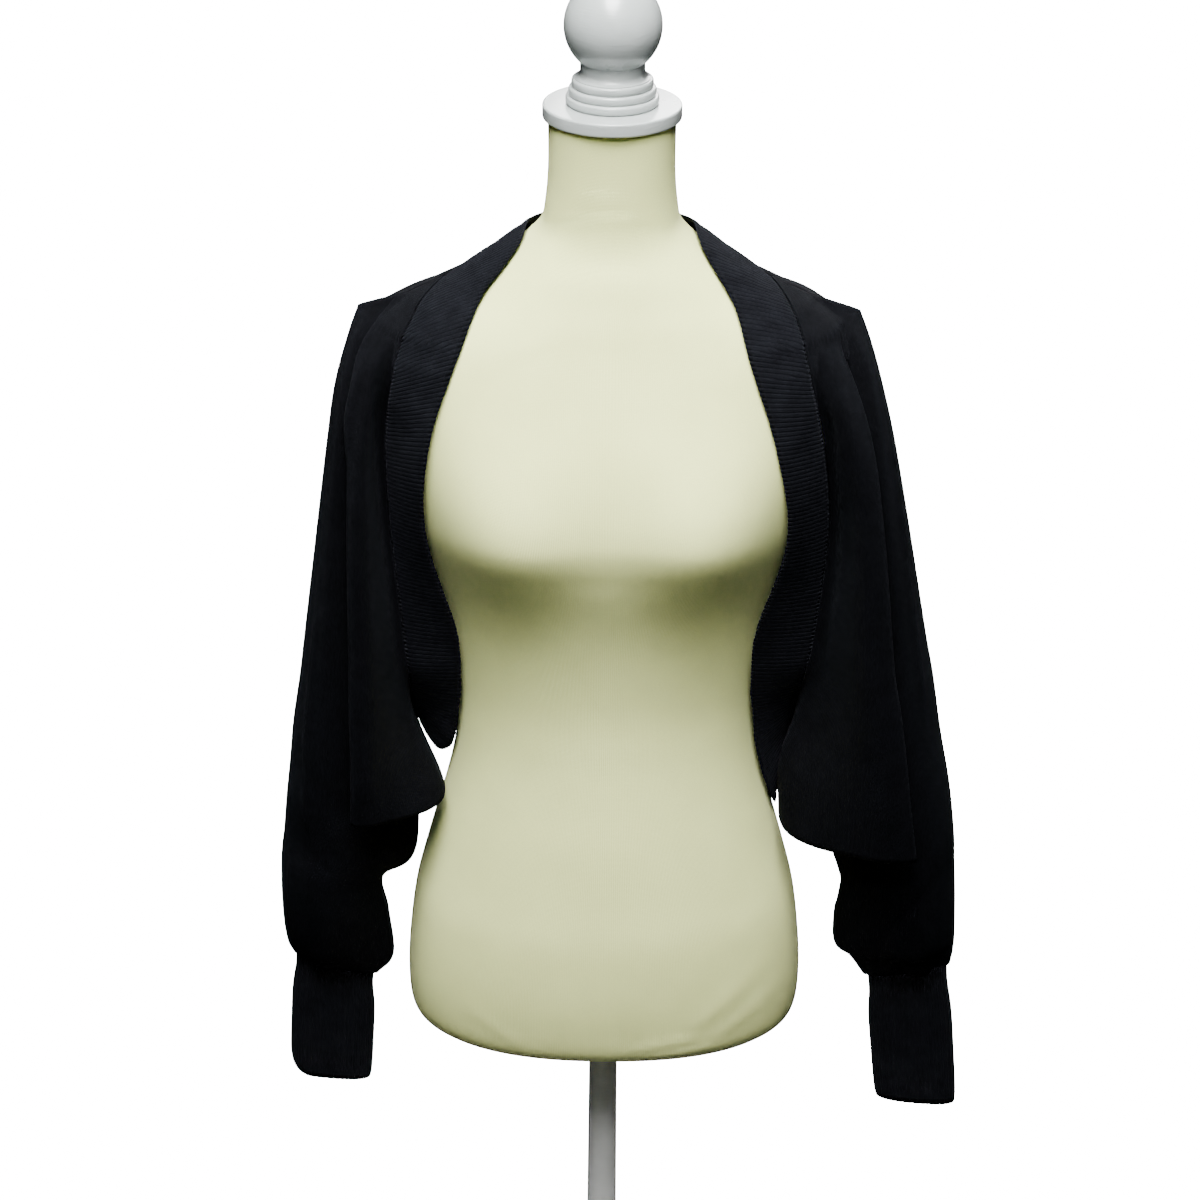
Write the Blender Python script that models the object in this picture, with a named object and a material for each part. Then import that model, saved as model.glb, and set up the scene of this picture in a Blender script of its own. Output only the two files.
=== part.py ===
"""Knitted open-front shrug with dolman sleeves, worn by a limbless dress form on a low stand.

Metres, +Z up. The origin is on the floor under the pole's axis, and the dress form faces -Y.
Garment heights are given as a drop, in millimetres below the top of the neck cap, as a dressmaker
measures down from the neck. Left and right are the wearer's: left is +X.
"""

import math
from collections import namedtuple

import bmesh
import bpy
import numpy as np
from mathutils import Vector

for leftover in list(bpy.data.objects):
    bpy.data.objects.remove(leftover, do_unlink=True)

MM = 0.001
CAP_TOP = 1098.0           # height of the neck cap's top face above the floor
SEAM_GAP = 0.3             # what each edge of a seam stands back from its line
FOLDED_SEAM_GAP = 2.0      # the same where two pieces meet at an angle, as on the shoulder
BAND_STAND_BACK = 1.3      # the thick rib band stands further back from the cloth beside it
FORM_CLEARANCE = 3.5       # least air between the cloth's inner face and the dress form

JERSEY_WALL = 1.6          # fine jersey, laid up as one wall
RIB_WALL = 2.6             # doubled rib of the band and the cuffs

LEFT, RIGHT = 1, -1        # signs of X


def place(x, y, drop):
    """A point of the garment or form, in metres above the floor."""
    return Vector((x * MM, y * MM, (CAP_TOP - drop) * MM))


# --------------------------------------------------------------------------------------------------
# Materials


def finish(name, colour, roughness, metallic=0.0):
    material = bpy.data.materials.new(name)
    material.use_nodes = True
    shader = material.node_tree.nodes["Principled BSDF"]
    shader.inputs["Base Color"].default_value = (*colour, 1.0)
    shader.inputs["Roughness"].default_value = roughness
    shader.inputs["Metallic"].default_value = metallic
    material.diffuse_color = (*colour, 1.0)
    return material


BLACK_JERSEY = (0.010, 0.010, 0.013)
BLACK_RIB = (0.012, 0.012, 0.015)
IVORY_COVER = (0.80, 0.80, 0.66)
WHITE_PAINT = (0.85, 0.85, 0.85)


def add_object(name, mesh_points, faces, material):
    mesh = bpy.data.meshes.new(name)
    mesh.from_pydata([tuple(point) for point in mesh_points], [], faces)
    work = bmesh.new()
    work.from_mesh(mesh)
    bmesh.ops.remove_doubles(work, verts=work.verts, dist=1e-6)
    bmesh.ops.dissolve_degenerate(work, edges=work.edges, dist=1e-6)
    bmesh.ops.recalc_face_normals(work, faces=work.faces)
    if work.calc_volume(signed=True) < 0:
        bmesh.ops.reverse_faces(work, faces=work.faces)
    work.to_mesh(mesh)
    work.free()
    mesh.materials.append(material)
    mesh.shade_smooth()
    mesh.set_sharp_from_angle(angle=math.radians(50))
    thing = bpy.data.objects.new(name, mesh)
    bpy.context.scene.collection.objects.link(thing)
    return thing


# --------------------------------------------------------------------------------------------------
# Dress form: lofted foam body, neck cap, turned finial, pole and base


Girth = namedtuple("Girth", "drop half_width front back")

FORM_GIRTHS = [
    Girth(10.0, 44.5, 44, 45),
    Girth(45, 44.5, 43, 46),
    Girth(70, 46.5, 43, 50),
    Girth(86, 50, 44, 48),
    Girth(99, 62, 47, 48),
    Girth(114, 81, 54, 50),
    Girth(130, 106, 60, 55),
    Girth(145, 136, 66, 65),
    Girth(160, 160, 71, 79),
    Girth(178, 170, 77, 88),
    Girth(205, 168, 85, 96),
    Girth(225, 163, 90.5, 97.5),
    Girth(245, 158, 94.5, 98),
    Girth(268, 152.5, 97, 98.5),
    Girth(290, 147, 98, 98),
    Girth(306, 143.5, 97, 97),
    Girth(322, 139, 95, 95.5),
    Girth(345, 132, 91.5, 92),
    Girth(395, 119, 80, 84),
    Girth(445, 112.5, 74, 80),
    Girth(485, 113, 76, 82),
    Girth(520, 118.5, 81, 86),
    Girth(558, 128, 87, 92),
    Girth(598, 139, 92, 98),
    Girth(637, 148.5, 97, 103),
    Girth(683, 154, 99, 106),
    Girth(716, 155, 98, 105),
    Girth(736, 152.5, 95.5, 102.5),
    Girth(745, 145, 88, 95),
]
FORM_SQUARENESS = 2.3
FORM_SIDES = 40
BUST_APEX_X = 72.0
BUST_DROP = 292.0
BUST_PROUD = 24.0
BUST_SPREAD = 40.0
BUST_RISE = 50.0
BUST_FALL = 34.0


def bust(x, drop):
    """How far the soft bust stands proud of the chest."""
    tall = BUST_RISE if drop < BUST_DROP else BUST_FALL
    proud = 0.0
    for apex in (-BUST_APEX_X, BUST_APEX_X):
        across = (x - apex) / BUST_SPREAD
        proud += BUST_PROUD * math.exp(-(across**2) / 2 - ((drop - BUST_DROP) / tall) ** 2 / 2)
    return proud


def form_ring(girth):
    ring = []
    power = 2.0 / FORM_SQUARENESS
    for step in range(FORM_SIDES):
        turn = 2 * math.pi * step / FORM_SIDES
        along, towards = math.cos(turn), math.sin(turn)
        x = girth.half_width * math.copysign(abs(along) ** power, along)
        reach = girth.back if towards > 0 else girth.front
        y = reach * math.copysign(abs(towards) ** power, towards)
        if towards < 0:
            y -= bust(x, girth.drop) * (1 - abs(x / girth.half_width) ** 6)
        ring.append(place(x, y, girth.drop))
    return ring


def form_size(drop):
    """(half width, depth in front, depth behind) of the form at one drop."""
    drops = [girth.drop for girth in FORM_GIRTHS]
    return [np.interp(drop, drops, [girth[column] for girth in FORM_GIRTHS]) for column in (1, 2, 3)]


def form_level(where):
    """Below 1 inside the form, 1 on its surface and above 1 outside it."""
    x, y, drop = where
    half_width, front, back = form_size(drop)
    if y < 0:
        shrink = max(0.0, 1 - abs(x / half_width) ** 6)
        y = min(0.0, y + bust(x, drop) * shrink * abs(y) / front)
    depth = front if y < 0 else back
    return (abs(x / half_width) ** FORM_SQUARENESS + abs(y / depth) ** FORM_SQUARENESS) ** (
        1 / FORM_SQUARENESS
    )


def clear_of_form(where, clearance):
    """The point itself, or the nearest one that stands off the form by the clearance."""
    where = np.array(where, float)
    step = 0.5
    for _ in range(12):
        level = form_level(where)
        slope = np.array(
            [
                (form_level(where + step * axis) - form_level(where - step * axis)) / (2 * step)
                for axis in np.eye(3)
            ]
        )
        steepness = max(float(np.linalg.norm(slope)), 1e-6)
        short = clearance - (level - 1) / steepness
        if short <= 0.02:
            break
        where = where + slope / steepness * min(short, 6.0)
    return where


def loft(rings):
    """Side faces between closed rings, with a flat cap on each end."""
    sides = len(rings[0])
    points = [point for ring in rings for point in ring]
    faces = []
    for level in range(len(rings) - 1):
        for step in range(sides):
            ahead = (step + 1) % sides
            lower, upper = level * sides, (level + 1) * sides
            faces.append((lower + step, lower + ahead, upper + ahead, upper + step))
    faces.append(tuple(reversed(range(sides))))
    last = (len(rings) - 1) * sides
    faces.append(tuple(last + step for step in range(sides)))
    return points, faces


def turned(name, profile, material, sides=40):
    """A solid of revolution about the pole's axis. profile holds (radius, height) in mm, upwards."""
    rings = []
    for radius, height in profile:
        ring = []
        for step in range(sides):
            turn = 2 * math.pi * step / sides
            ring.append(Vector((radius * math.cos(turn), radius * math.sin(turn), height)) * MM)
        rings.append(ring)
    points, faces = loft(rings)
    return add_object(name, points, faces, material)


def ball_profile(radius, centre, start_angle, end_angle, steps):
    """Points of a ball's outline between two angles above its equator, in degrees."""
    points = []
    for step in range(steps + 1):
        angle = math.radians(start_angle + (end_angle - start_angle) * step / steps)
        points.append((radius * math.cos(angle), centre + radius * math.sin(angle)))
    return points


CONTACT_GAP = 0.3          # between parts that rest on each other
CAP_RADIUS = 48.5
CAP_THICKNESS = 9.5
CAP_EDGE = 1.5
RING_RADII = (32.5, 30.5, 28.5)
RING_RISE = 6.0
BALL_RADIUS = 34.0
BALL_CENTRE = 55.0
WAIST_RADIUS = 22.5
POLE_TOP_RADIUS = 11.0
POLE_FOOT_RADIUS = 12.5
BASE_RADIUS = 150.0
BASE_THICKNESS = 16.0
COLLAR_RADIUS = 22.0
COLLAR_HEIGHT = 34.0

paint = finish("white_paint", WHITE_PAINT, 0.25)
form_top = CAP_TOP - FORM_GIRTHS[0].drop
form_bottom = CAP_TOP - FORM_GIRTHS[-1].drop

form_points, form_faces = loft([form_ring(girth) for girth in reversed(FORM_GIRTHS)])
add_object("form_torso", form_points, form_faces, finish("ivory_cover", IVORY_COVER, 0.85))

cap_bottom = form_top + CONTACT_GAP
turned(
    "neck_cap",
    [
        (CAP_RADIUS - CAP_EDGE, cap_bottom),
        (CAP_RADIUS, cap_bottom + CAP_EDGE),
        (CAP_RADIUS, CAP_TOP - CAP_EDGE),
        (CAP_RADIUS - CAP_EDGE, CAP_TOP),
    ],
    paint,
)

ring_profile = []
for index, radius in enumerate(RING_RADII):
    foot = CAP_TOP + CONTACT_GAP + index * RING_RISE
    ring_profile += [(radius, foot), (radius, foot + RING_RISE - 1.5), (radius - 1.2, foot + RING_RISE)]
ball_centre = CAP_TOP + BALL_CENTRE
waist_angle = -math.degrees(math.acos(WAIST_RADIUS / BALL_RADIUS))
finial_profile = ring_profile + [(WAIST_RADIUS, CAP_TOP + 20.5), (WAIST_RADIUS, CAP_TOP + 28.0)]
finial_profile += ball_profile(BALL_RADIUS, ball_centre, waist_angle, 84.0, 14)
turned("finial", finial_profile, paint, sides=32)

turned(
    "stand_base",
    [
        (BASE_RADIUS, 0.0),
        (BASE_RADIUS, BASE_THICKNESS - 5.0),
        (BASE_RADIUS - 2.0, BASE_THICKNESS - 1.5),
        (BASE_RADIUS - 6.0, BASE_THICKNESS),
        (COLLAR_RADIUS + 5.0, BASE_THICKNESS),
        (COLLAR_RADIUS, BASE_THICKNESS + 6.0),
        (COLLAR_RADIUS - 3.0, BASE_THICKNESS + COLLAR_HEIGHT),
    ],
    paint,
    sides=48,
)
turned(
    "stand_pole",
    [
        (POLE_FOOT_RADIUS, BASE_THICKNESS + COLLAR_HEIGHT + CONTACT_GAP),
        (POLE_TOP_RADIUS, form_bottom - CONTACT_GAP),
    ],
    paint,
    sides=24,
)


# --------------------------------------------------------------------------------------------------
# Shrug: the tables of its cut, as it hangs


# The rib band runs once round the whole opening. Each row is one station across it: the free edge,
# then the seam edge. The two neck rows and the three hem rows serve both sides.
Station = namedtuple("Station", "edge_x edge_y edge_drop seam_x seam_y seam_drop")

BAND_NECK = [
    Station(0, 56, 93, 0, 80, 130),
    Station(30, 49, 93, 46, 69, 129),
    Station(48, 28, 95, 78, 48, 129),
]
BAND_FRONT = {
    LEFT: [
        Station(53, -9, 101, 112, 8, 133),
        Station(83, -43, 125, 129, -30, 145),
        Station(97, -66, 166, 139, -51, 178),
        Station(117.5, -77, 228, 152, -50, 232),
        Station(128, -67, 303, 160, -36, 308),
        Station(108, -47, 390, 154, -30, 396),
        Station(106, -39, 428, 149, -25, 432),
        Station(109, -30, 470, 144, -6, 466),
        Station(115, -26, 512, 141, 8, 486),
        Station(128, -10, 556, 138, 22, 504),
    ],
    RIGHT: [
        Station(55, -9, 101, 118, 8, 137),
        Station(86, -38, 122, 141, -32, 154),
        Station(103.5, -61, 160, 153, -45, 185),
        Station(125.5, -75, 222, 160, -38, 236),
        Station(131, -64, 300, 159, -33, 305),
        Station(109, -43, 396, 152, -30, 398),
        Station(108, -37, 428, 149, -27, 432),
        Station(111, -27, 470, 148, -8, 464),
        Station(117, -20, 500, 146, 6, 482),
        Station(128, 0, 516, 141, 22, 494),
    ],
}
BAND_HEM = {
    LEFT: [
        Station(124, 54, 566, 127, 68, 513),
        Station(88, 90, 555, 90, 100, 511),
        Station(45, 101, 550, 45, 108, 507),
        Station(0, 103, 548, 0, 110, 505),
    ],
    RIGHT: [
        Station(124, 54, 533, 127, 68, 498),
        Station(88, 90, 541, 90, 100, 500),
        Station(45, 101, 547, 45, 108, 504),
        Station(0, 103, 548, 0, 110, 505),
    ],
}

# The hanging front panel and the top of the sleeve: one row for each front station. The panel's
# outer edge is a deep fold; pleat is how far the cloth goes back behind it before the sleeve, and
# trough is the share of the panel's width at which it dips beside the band.
Hang = namedtuple("Hang", "fold_x pleat outer_x outer_drop trough")

PANEL_HANG = {
    LEFT: [
        Hang(150, 3, 178.5, 155.5, 0.16),
        Hang(164, 4, 186, 174, 0.16),
        Hang(177, 7, 195.5, 205, 0.16),
        Hang(190, 13, 207.5, 252, 0.16),
        Hang(200, 24, 222, 322, 0.16),
        Hang(210, 34, 239.5, 412, 0.16),
        Hang(217, 39, 247.5, 450, 0.16),
        Hang(224, 43, 255.5, 496, 0.06),
        Hang(230, 47, 265.5, 545, -0.03),
        Hang(236, 50, 271.5, 588, 0.0),
    ],
    RIGHT: [
        Hang(152, 3, 180, 154.5, 0.16),
        Hang(176, 4, 188, 176, 0.16),
        Hang(184, 5, 198.5, 214, 0.16),
        Hang(186, 8, 205.5, 258, 0.16),
        Hang(188, 12, 214.5, 322, 0.16),
        Hang(189, 16, 227, 412, 0.16),
        Hang(190, 18, 232.5, 452, 0.16),
        Hang(190, 19, 239, 492, 0.03),
        Hang(191, 20, 243, 528, -0.10),
        Hang(192, 21, 246.5, 556, -0.35),
    ],
}

# How far forward (-) or back (+) each fold stands, the same on both sides, one row a station, and
# the side and the centre of the back at that station.
Depth = namedtuple("Depth", "ridge fold turn sleeve back crease side_x side_y side_drop centre_y centre_drop")

FOLD_DEPTHS = [
    Depth(9, 10, 11, 11, 12, 12, 135, 10, 139, 83, 120),
    Depth(-34, -24, -20, -14, 32, 45, 142, 56, 157, 95, 150),
    Depth(-54, -40, -36, -26, 46, 66, 146, 80, 196, 107, 183),
    Depth(-64, -52, -42, -33, 54, 78, 152, 92, 248, 114, 236),
    Depth(-68, -57, -40, -36, 56, 72, 154, 90, 318, 115, 300),
    Depth(-70, -60, -37, -38, 55, 60, 150, 80, 398, 114, 364),
    Depth(-70, -61, -35, -39, 54, 55, 147, 72, 432, 113, 394),
    Depth(-70, -62, -33, -40, 52, 50, 145, 58, 464, 112, 424),
    Depth(-71, -63, -31, -40, 49, 46, 142, 38, 488, 111, 458),
    Depth(-70, -62, -29, -39, 46, 40, 138, 22, 504, 110, 505),
]

# The lower sleeve, a closed tube from the underarm to the cuff seam. The inner side of each ring
# hangs lower than the outer by the slant.
Tube = namedtuple("Tube", "drop slant inner_x inner_y outer_x front back")

SLEEVE_END = {
    LEFT: [
        Tube(614, 2, 184, -22, 273.5, -38, 42),
        Tube(648, 2, 181, -17, 276, -36, 38),
        Tube(680, 4, 183, -10, 277.5, -31, 33),
        Tube(692, 8, 196, -4, 277.5, -21, 22),
        Tube(708, 12, 208, 0, 275.5, -12.5, 12.5),
    ],
    RIGHT: [
        Tube(590, 4, 147, -16, 250, -39, 42),
        Tube(614, 4, 173, -22, 253, -38, 41),
        Tube(650, 4, 170, -17, 254, -36, 37),
        Tube(685, 15, 168, -8, 252.5, -27, 29),
        Tube(701, 22, 181.5, 0, 247, -12.5, 12.5),
    ],
}

Cuff = namedtuple("Cuff", "top_centre bottom_centre half_width half_depth top_drop top_slant bottom_drop")

CUFFS = {
    LEFT: Cuff(242, 255.5, 33.7, 12.5, 708.6, 12, 840),
    RIGHT: Cuff(214.5, 221, 33, 12.5, 701.6, 22, 820),
}

# Shares of the way across a stretch of cloth at which its middle columns stand.
RIDGE_SHARE = 0.58
SLEEVE_FRONT_SHARE = 0.38
SLEEVE_BACK_SHARE = 0.25
CREASE_SHARE = 0.62
BACK_SHARES = (0.76, 0.55, 0.30)
BACK_SQUARENESS = 2.6
FLAP_STATIONS = 3          # stations over which the panel's foot swings clear of the band
LAP_OVER_BAND = 4.5        # the panel's foot starts this far outside the band's seam


# --------------------------------------------------------------------------------------------------
# Shrug: control columns of one station, from the band's seam round the sleeve to the centre back


PANEL_COLUMNS = ("seam", "trough", "ridge", "fold", "turn")
SLEEVE_COLUMNS = ("turn", "front", "outer", "back", "crease", "side")
COLUMNS = PANEL_COLUMNS + SLEEVE_COLUMNS[1:] + ("blade", "rear", "spine", "centre")
ACROSS = 3                 # quads between two control columns
DOWN = 2                   # quads between two stations


def between(start, end, share):
    return start + (end - start) * share


def station_columns(side, index):
    """Control points of one station on one side, from the band's seam to the centre back."""
    station, hang, depth = BAND_FRONT[side][index], PANEL_HANG[side][index], FOLD_DEPTHS[index]
    last = len(FOLD_DEPTHS) - 1
    swing = max(0.0, 1 - (last - index) / FLAP_STATIONS)
    hold = 0.2 + 0.5 * swing
    fold_drop = between(station.seam_drop, hang.outer_drop, 0.82)
    turn_x = hang.fold_x - hang.pleat
    reach = hang.outer_x - turn_x
    trough = (
        between(station.seam_x, hang.fold_x, hang.trough),
        between(station.seam_y, depth.ridge, hold),
        between(station.seam_drop, fold_drop, hold),
    )
    ridge = (
        between(station.seam_x, hang.fold_x, RIDGE_SHARE),
        depth.ridge,
        between(station.seam_drop, fold_drop, 0.62 + 0.28 * swing),
    )
    columns = [
        (station.seam_x + LAP_OVER_BAND * swing, station.seam_y, station.seam_drop),
        trough,
        ridge,
        (hang.fold_x, depth.fold, fold_drop),
        (turn_x, depth.turn, fold_drop + 3),
        (hang.outer_x - SLEEVE_FRONT_SHARE * reach, depth.sleeve, hang.outer_drop - 3),
        (hang.outer_x, (depth.sleeve + depth.back) * 0.15, hang.outer_drop),
        (hang.outer_x - SLEEVE_BACK_SHARE * reach, depth.back, hang.outer_drop),
        (hang.outer_x - CREASE_SHARE * reach, depth.crease, hang.outer_drop - 3),
    ]
    if index == 0:
        neck = [BAND_FRONT[side][0], BAND_NECK[2], BAND_NECK[1], BAND_NECK[0]]
        columns.append((depth.side_x, depth.side_y, depth.side_drop))
        columns += [(row.seam_x, row.seam_y, row.seam_drop) for row in neck]
        # The shoulder seam is straight from the band to the shoulder tip.
        start, tip = columns[0], (hang.outer_x, 10, hang.outer_drop)
        for column in range(1, 10):
            share = (columns[column][0] - start[0]) / (tip[0] - start[0])
            columns[column] = tuple(between(start[axis], tip[axis], share) for axis in range(3))
    elif index == last:
        columns.append(columns[0])
        columns += [(row.seam_x, row.seam_y, row.seam_drop) for row in BAND_HEM[side]]
    else:
        side_share = depth.side_y / depth.centre_y
        spread = depth.side_x / (1 - side_share**BACK_SQUARENESS) ** (1 / BACK_SQUARENESS)
        columns.append((depth.side_x, depth.side_y, depth.side_drop))
        for share in BACK_SHARES:
            x = share * depth.side_x
            y = depth.centre_y * (1 - (x / spread) ** BACK_SQUARENESS) ** (1 / BACK_SQUARENESS)
            columns.append((x, y, between(depth.centre_drop, depth.side_drop, share**2)))
        columns.append((0.0, depth.centre_y, depth.centre_drop))
    return [(side * x, y, drop) for x, y, drop in columns]


def tube_columns(side, tube):
    """Control points of one ring of the lower sleeve, from its inner seam round to it again."""
    reach = tube.outer_x - tube.inner_x
    ring = [
        (tube.inner_x, tube.inner_y),
        (tube.outer_x - SLEEVE_FRONT_SHARE * reach, tube.front),
        (tube.outer_x, (tube.front + tube.back) / 2),
        (tube.outer_x - SLEEVE_BACK_SHARE * reach, tube.back),
        (tube.outer_x - CREASE_SHARE * reach, tube.back * 0.92),
    ]
    return [(side * x, y, tube.drop + tube.slant * (tube.outer_x - x) / reach) for x, y in ring]


def smooth_curve(points, steps, closed=False):
    """A smooth curve through the points, with steps pieces between each two."""
    points = [np.array(point, float) for point in points]
    count = len(points)
    curve = []
    for index in range(count if closed else count - 1):
        here, ahead = points[index], points[(index + 1) % count]
        before = points[index - 1] if index or closed else 2 * here - ahead
        after = points[(index + 2) % count] if index + 2 < count or closed else 2 * ahead - here
        for step in range(steps):
            t = step / steps
            curve.append(
                0.5
                * (
                    2 * here
                    + (ahead - before) * t
                    + (2 * before - 5 * here + 4 * ahead - after) * t**2
                    + (3 * here - before - 3 * ahead + after) * t**3
                )
            )
    if not closed:
        curve.append(points[-1])
    return curve


# --------------------------------------------------------------------------------------------------
# Shrug: one middle surface for the whole body, cut into its pieces


class Surface:
    """Middle surface of the cloth: named points, and the faces of each piece over them."""

    def __init__(self, wall):
        self.wall = wall
        self.points = []
        self.gaps = []
        self.index_of = {}
        self.faces = {}

    def point(self, key, where, gap=SEAM_GAP):
        if key not in self.index_of:
            self.index_of[key] = len(self.points)
            self.points.append(clear_of_form(where, self.wall / 2 + FORM_CLEARANCE))
            self.gaps.append(gap)
        return self.index_of[key]

    def face(self, piece, corners):
        kept = [corner for place_in, corner in enumerate(corners) if corner != corners[place_in - 1]]
        if len(kept) > 2:
            self.faces.setdefault(piece, []).append(tuple(kept))

    def normals(self):
        """Outward direction at each point, from all the faces that meet there."""
        total = np.zeros((len(self.points), 3))
        for faces in self.faces.values():
            for face in faces:
                corners = [self.points[index] for index in face]
                middle = sum(corners) / len(corners)
                for place_in, corner in enumerate(corners):
                    ahead = corners[(place_in + 1) % len(corners)]
                    area = np.cross(corner - middle, ahead - middle)
                    total[face[place_in]] += area
                    total[face[(place_in + 1) % len(corners)]] += area
        length = np.linalg.norm(total, axis=1, keepdims=True)
        return total / np.maximum(length, 1e-9)


def edge_directions(points, faces):
    """For each point on the rim of these faces, the unit direction along the cloth, inwards."""
    uses = {}
    for face in faces:
        for place_in, corner in enumerate(face):
            pair = (corner, face[(place_in + 1) % len(face)])
            uses.setdefault(frozenset(pair), []).append((pair, face))
    rim = [found[0] for found in uses.values() if len(found) == 1]
    inward = {}
    for (start, end), face in rim:
        along = points[end] - points[start]
        along /= max(np.linalg.norm(along), 1e-9)
        middle = sum(points[index] for index in face) / len(face)
        across = middle - points[start]
        across -= along * np.dot(across, along)
        across /= max(np.linalg.norm(across), 1e-9)
        for corner in (start, end):
            inward.setdefault(corner, []).append(across)
    pull = {}
    for corner, ways in inward.items():
        total = sum(ways)
        size = np.linalg.norm(total)
        # On a corner of the piece both edges stand back by the whole distance.
        pull[corner] = total / size / max(size / len(ways), 0.5) if size > 1e-6 else total
    return pull, [pair for pair, face in rim]


def sheet_solid(name, surface, piece, material):
    """A closed wall over one piece of the surface, standing back from its seams."""
    wall = surface.wall
    faces = surface.faces[piece]
    normals = surface.normals()
    pull, rim = edge_directions(surface.points, faces)
    used = sorted({corner for face in faces for corner in face})
    row = {corner: order for order, corner in enumerate(used)}
    outer, inner = [], []
    for corner in used:
        middle = surface.points[corner].copy()
        if corner in pull:
            middle = middle + pull[corner] * surface.gaps[corner]
        outer.append(place(*(middle + normals[corner] * wall / 2)))
        inner.append(place(*(middle - normals[corner] * wall / 2)))
    count = len(used)
    solid_faces = [tuple(row[corner] for corner in face) for face in faces]
    solid_faces += [tuple(count + row[corner] for corner in reversed(face)) for face in faces]
    for start, end in rim:
        solid_faces.append((row[end], row[start], count + row[start], count + row[end]))
    return add_object(name, outer + inner, solid_faces, material)


def refined_rows(rows, steps):
    """Stations in between the given rows, column by column."""
    columns = [smooth_curve(list(column), steps) for column in zip(*rows)]
    return [list(row) for row in zip(*columns)]


def build_body():
    body = Surface(JERSEY_WALL)
    stations = len(FOLD_DEPTHS)
    upper = {}
    for index in range(stations):
        left = station_columns(LEFT, index)
        right = station_columns(RIGHT, index)
        ribbon = smooth_curve(right + left[-2::-1], ACROSS)
        middle = (len(COLUMNS) - 1) * ACROSS
        upper.setdefault(RIGHT, []).append(ribbon[: middle + 1])
        upper.setdefault(LEFT, []).append(ribbon[middle:][::-1])
    turn = (len(PANEL_COLUMNS) - 1) * ACROSS
    outer = turn + 2 * ACROSS
    side_column = turn + (len(SLEEVE_COLUMNS) - 1) * ACROSS
    centre = (len(COLUMNS) - 1) * ACROSS
    hem_row = (stations - 1) * DOWN
    for side in (LEFT, RIGHT):
        name = "left" if side == LEFT else "right"
        rows = refined_rows(upper[side], DOWN)
        lower = [smooth_curve(tube_columns(side, tube), ACROSS, closed=True) for tube in SLEEVE_END[side]]
        lower = [ring + ring[:1] for ring in lower]
        sleeve = refined_rows([row[turn : side_column + 1] for row in upper[side]] + lower, DOWN)

        def corner(row, column):
            """Index of the point at this row and column. Below the underarm the sleeve closes."""
            if row >= hem_row + DOWN and column == side_column:
                column = turn
            key = ("centre", row) if column == centre else (side, row, column)
            folded = row == 0 or row >= hem_row - 1 and column in (0, turn, side_column)
            gap = FOLDED_SEAM_GAP if folded else SEAM_GAP
            where = rows[row][column] if column < turn or column > side_column else sleeve[row][column - turn]
            return body.point(key, where, gap)

        def quad(piece, row, column):
            ring = [
                corner(row, column),
                corner(row + 1, column),
                corner(row + 1, column + 1),
                corner(row, column + 1),
            ]
            body.face(piece, ring if side == LEFT else ring[::-1])

        for row in range(hem_row):
            for column in range(centre):
                quad("front_" + name if column < outer else "back", row, column)
        for row in range(hem_row, len(sleeve) - 1):
            for column in range(turn, side_column):
                quad("front_" + name if column < outer else "back", row, column)
        underarm(body, side, "front_" + name, corner, hem_row, turn, side_column)
    return body


LIP_SAG = 4.0              # how far the panel's turned-under foot hangs below its edge


def underarm(body, side, piece, corner, hem_row, turn, side_column):
    """The front panel's foot turns under, and runs back to the underarm seam."""
    seam_line = [body.points[corner(hem_row + step, side_column)] for step in range(DOWN + 1)]
    lengths = [0.0]
    for here, ahead in zip(seam_line, seam_line[1:]):
        lengths.append(lengths[-1] + float(np.linalg.norm(ahead - here)))
    previous = [corner(hem_row, column) for column in range(turn + 1)]
    for step in range(1, DOWN + 1):
        share = step / DOWN
        current = []
        for column in range(turn + 1):
            if column == 0:
                current.append(corner(hem_row, 0))
                continue
            if column == turn:
                current.append(corner(hem_row + step, turn))
                continue
            way = lengths[-1] * column / turn
            target = [np.interp(way, lengths, [point[axis] for point in seam_line]) for axis in range(3)]
            start = body.points[corner(hem_row, column)]
            where = start + (np.array(target) - start) * share
            where[2] += LIP_SAG * math.sin(math.pi * share) * math.sin(math.pi * column / turn)
            current.append(body.point((side, "foot", step, column), where, FOLDED_SEAM_GAP))
        for column in range(turn):
            ring = [previous[column], current[column], current[column + 1], previous[column + 1]]
            body.face(piece, ring if side == LEFT else ring[::-1])
        previous = current


jersey = finish("black_jersey", BLACK_JERSEY, 0.8)
rib = finish("black_rib", BLACK_RIB, 0.85)

body = build_body()
for piece in ("front_left", "front_right", "back"):
    sheet_solid(piece, body, piece, jersey)


# --------------------------------------------------------------------------------------------------
# Shrug: rib band and cuffs


BAND_ALONG = 3             # quads between two stations of the band
BAND_ACROSS = 3            # quads across the band
BAND_BOW = 1.5             # the band is a little rounded across


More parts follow.
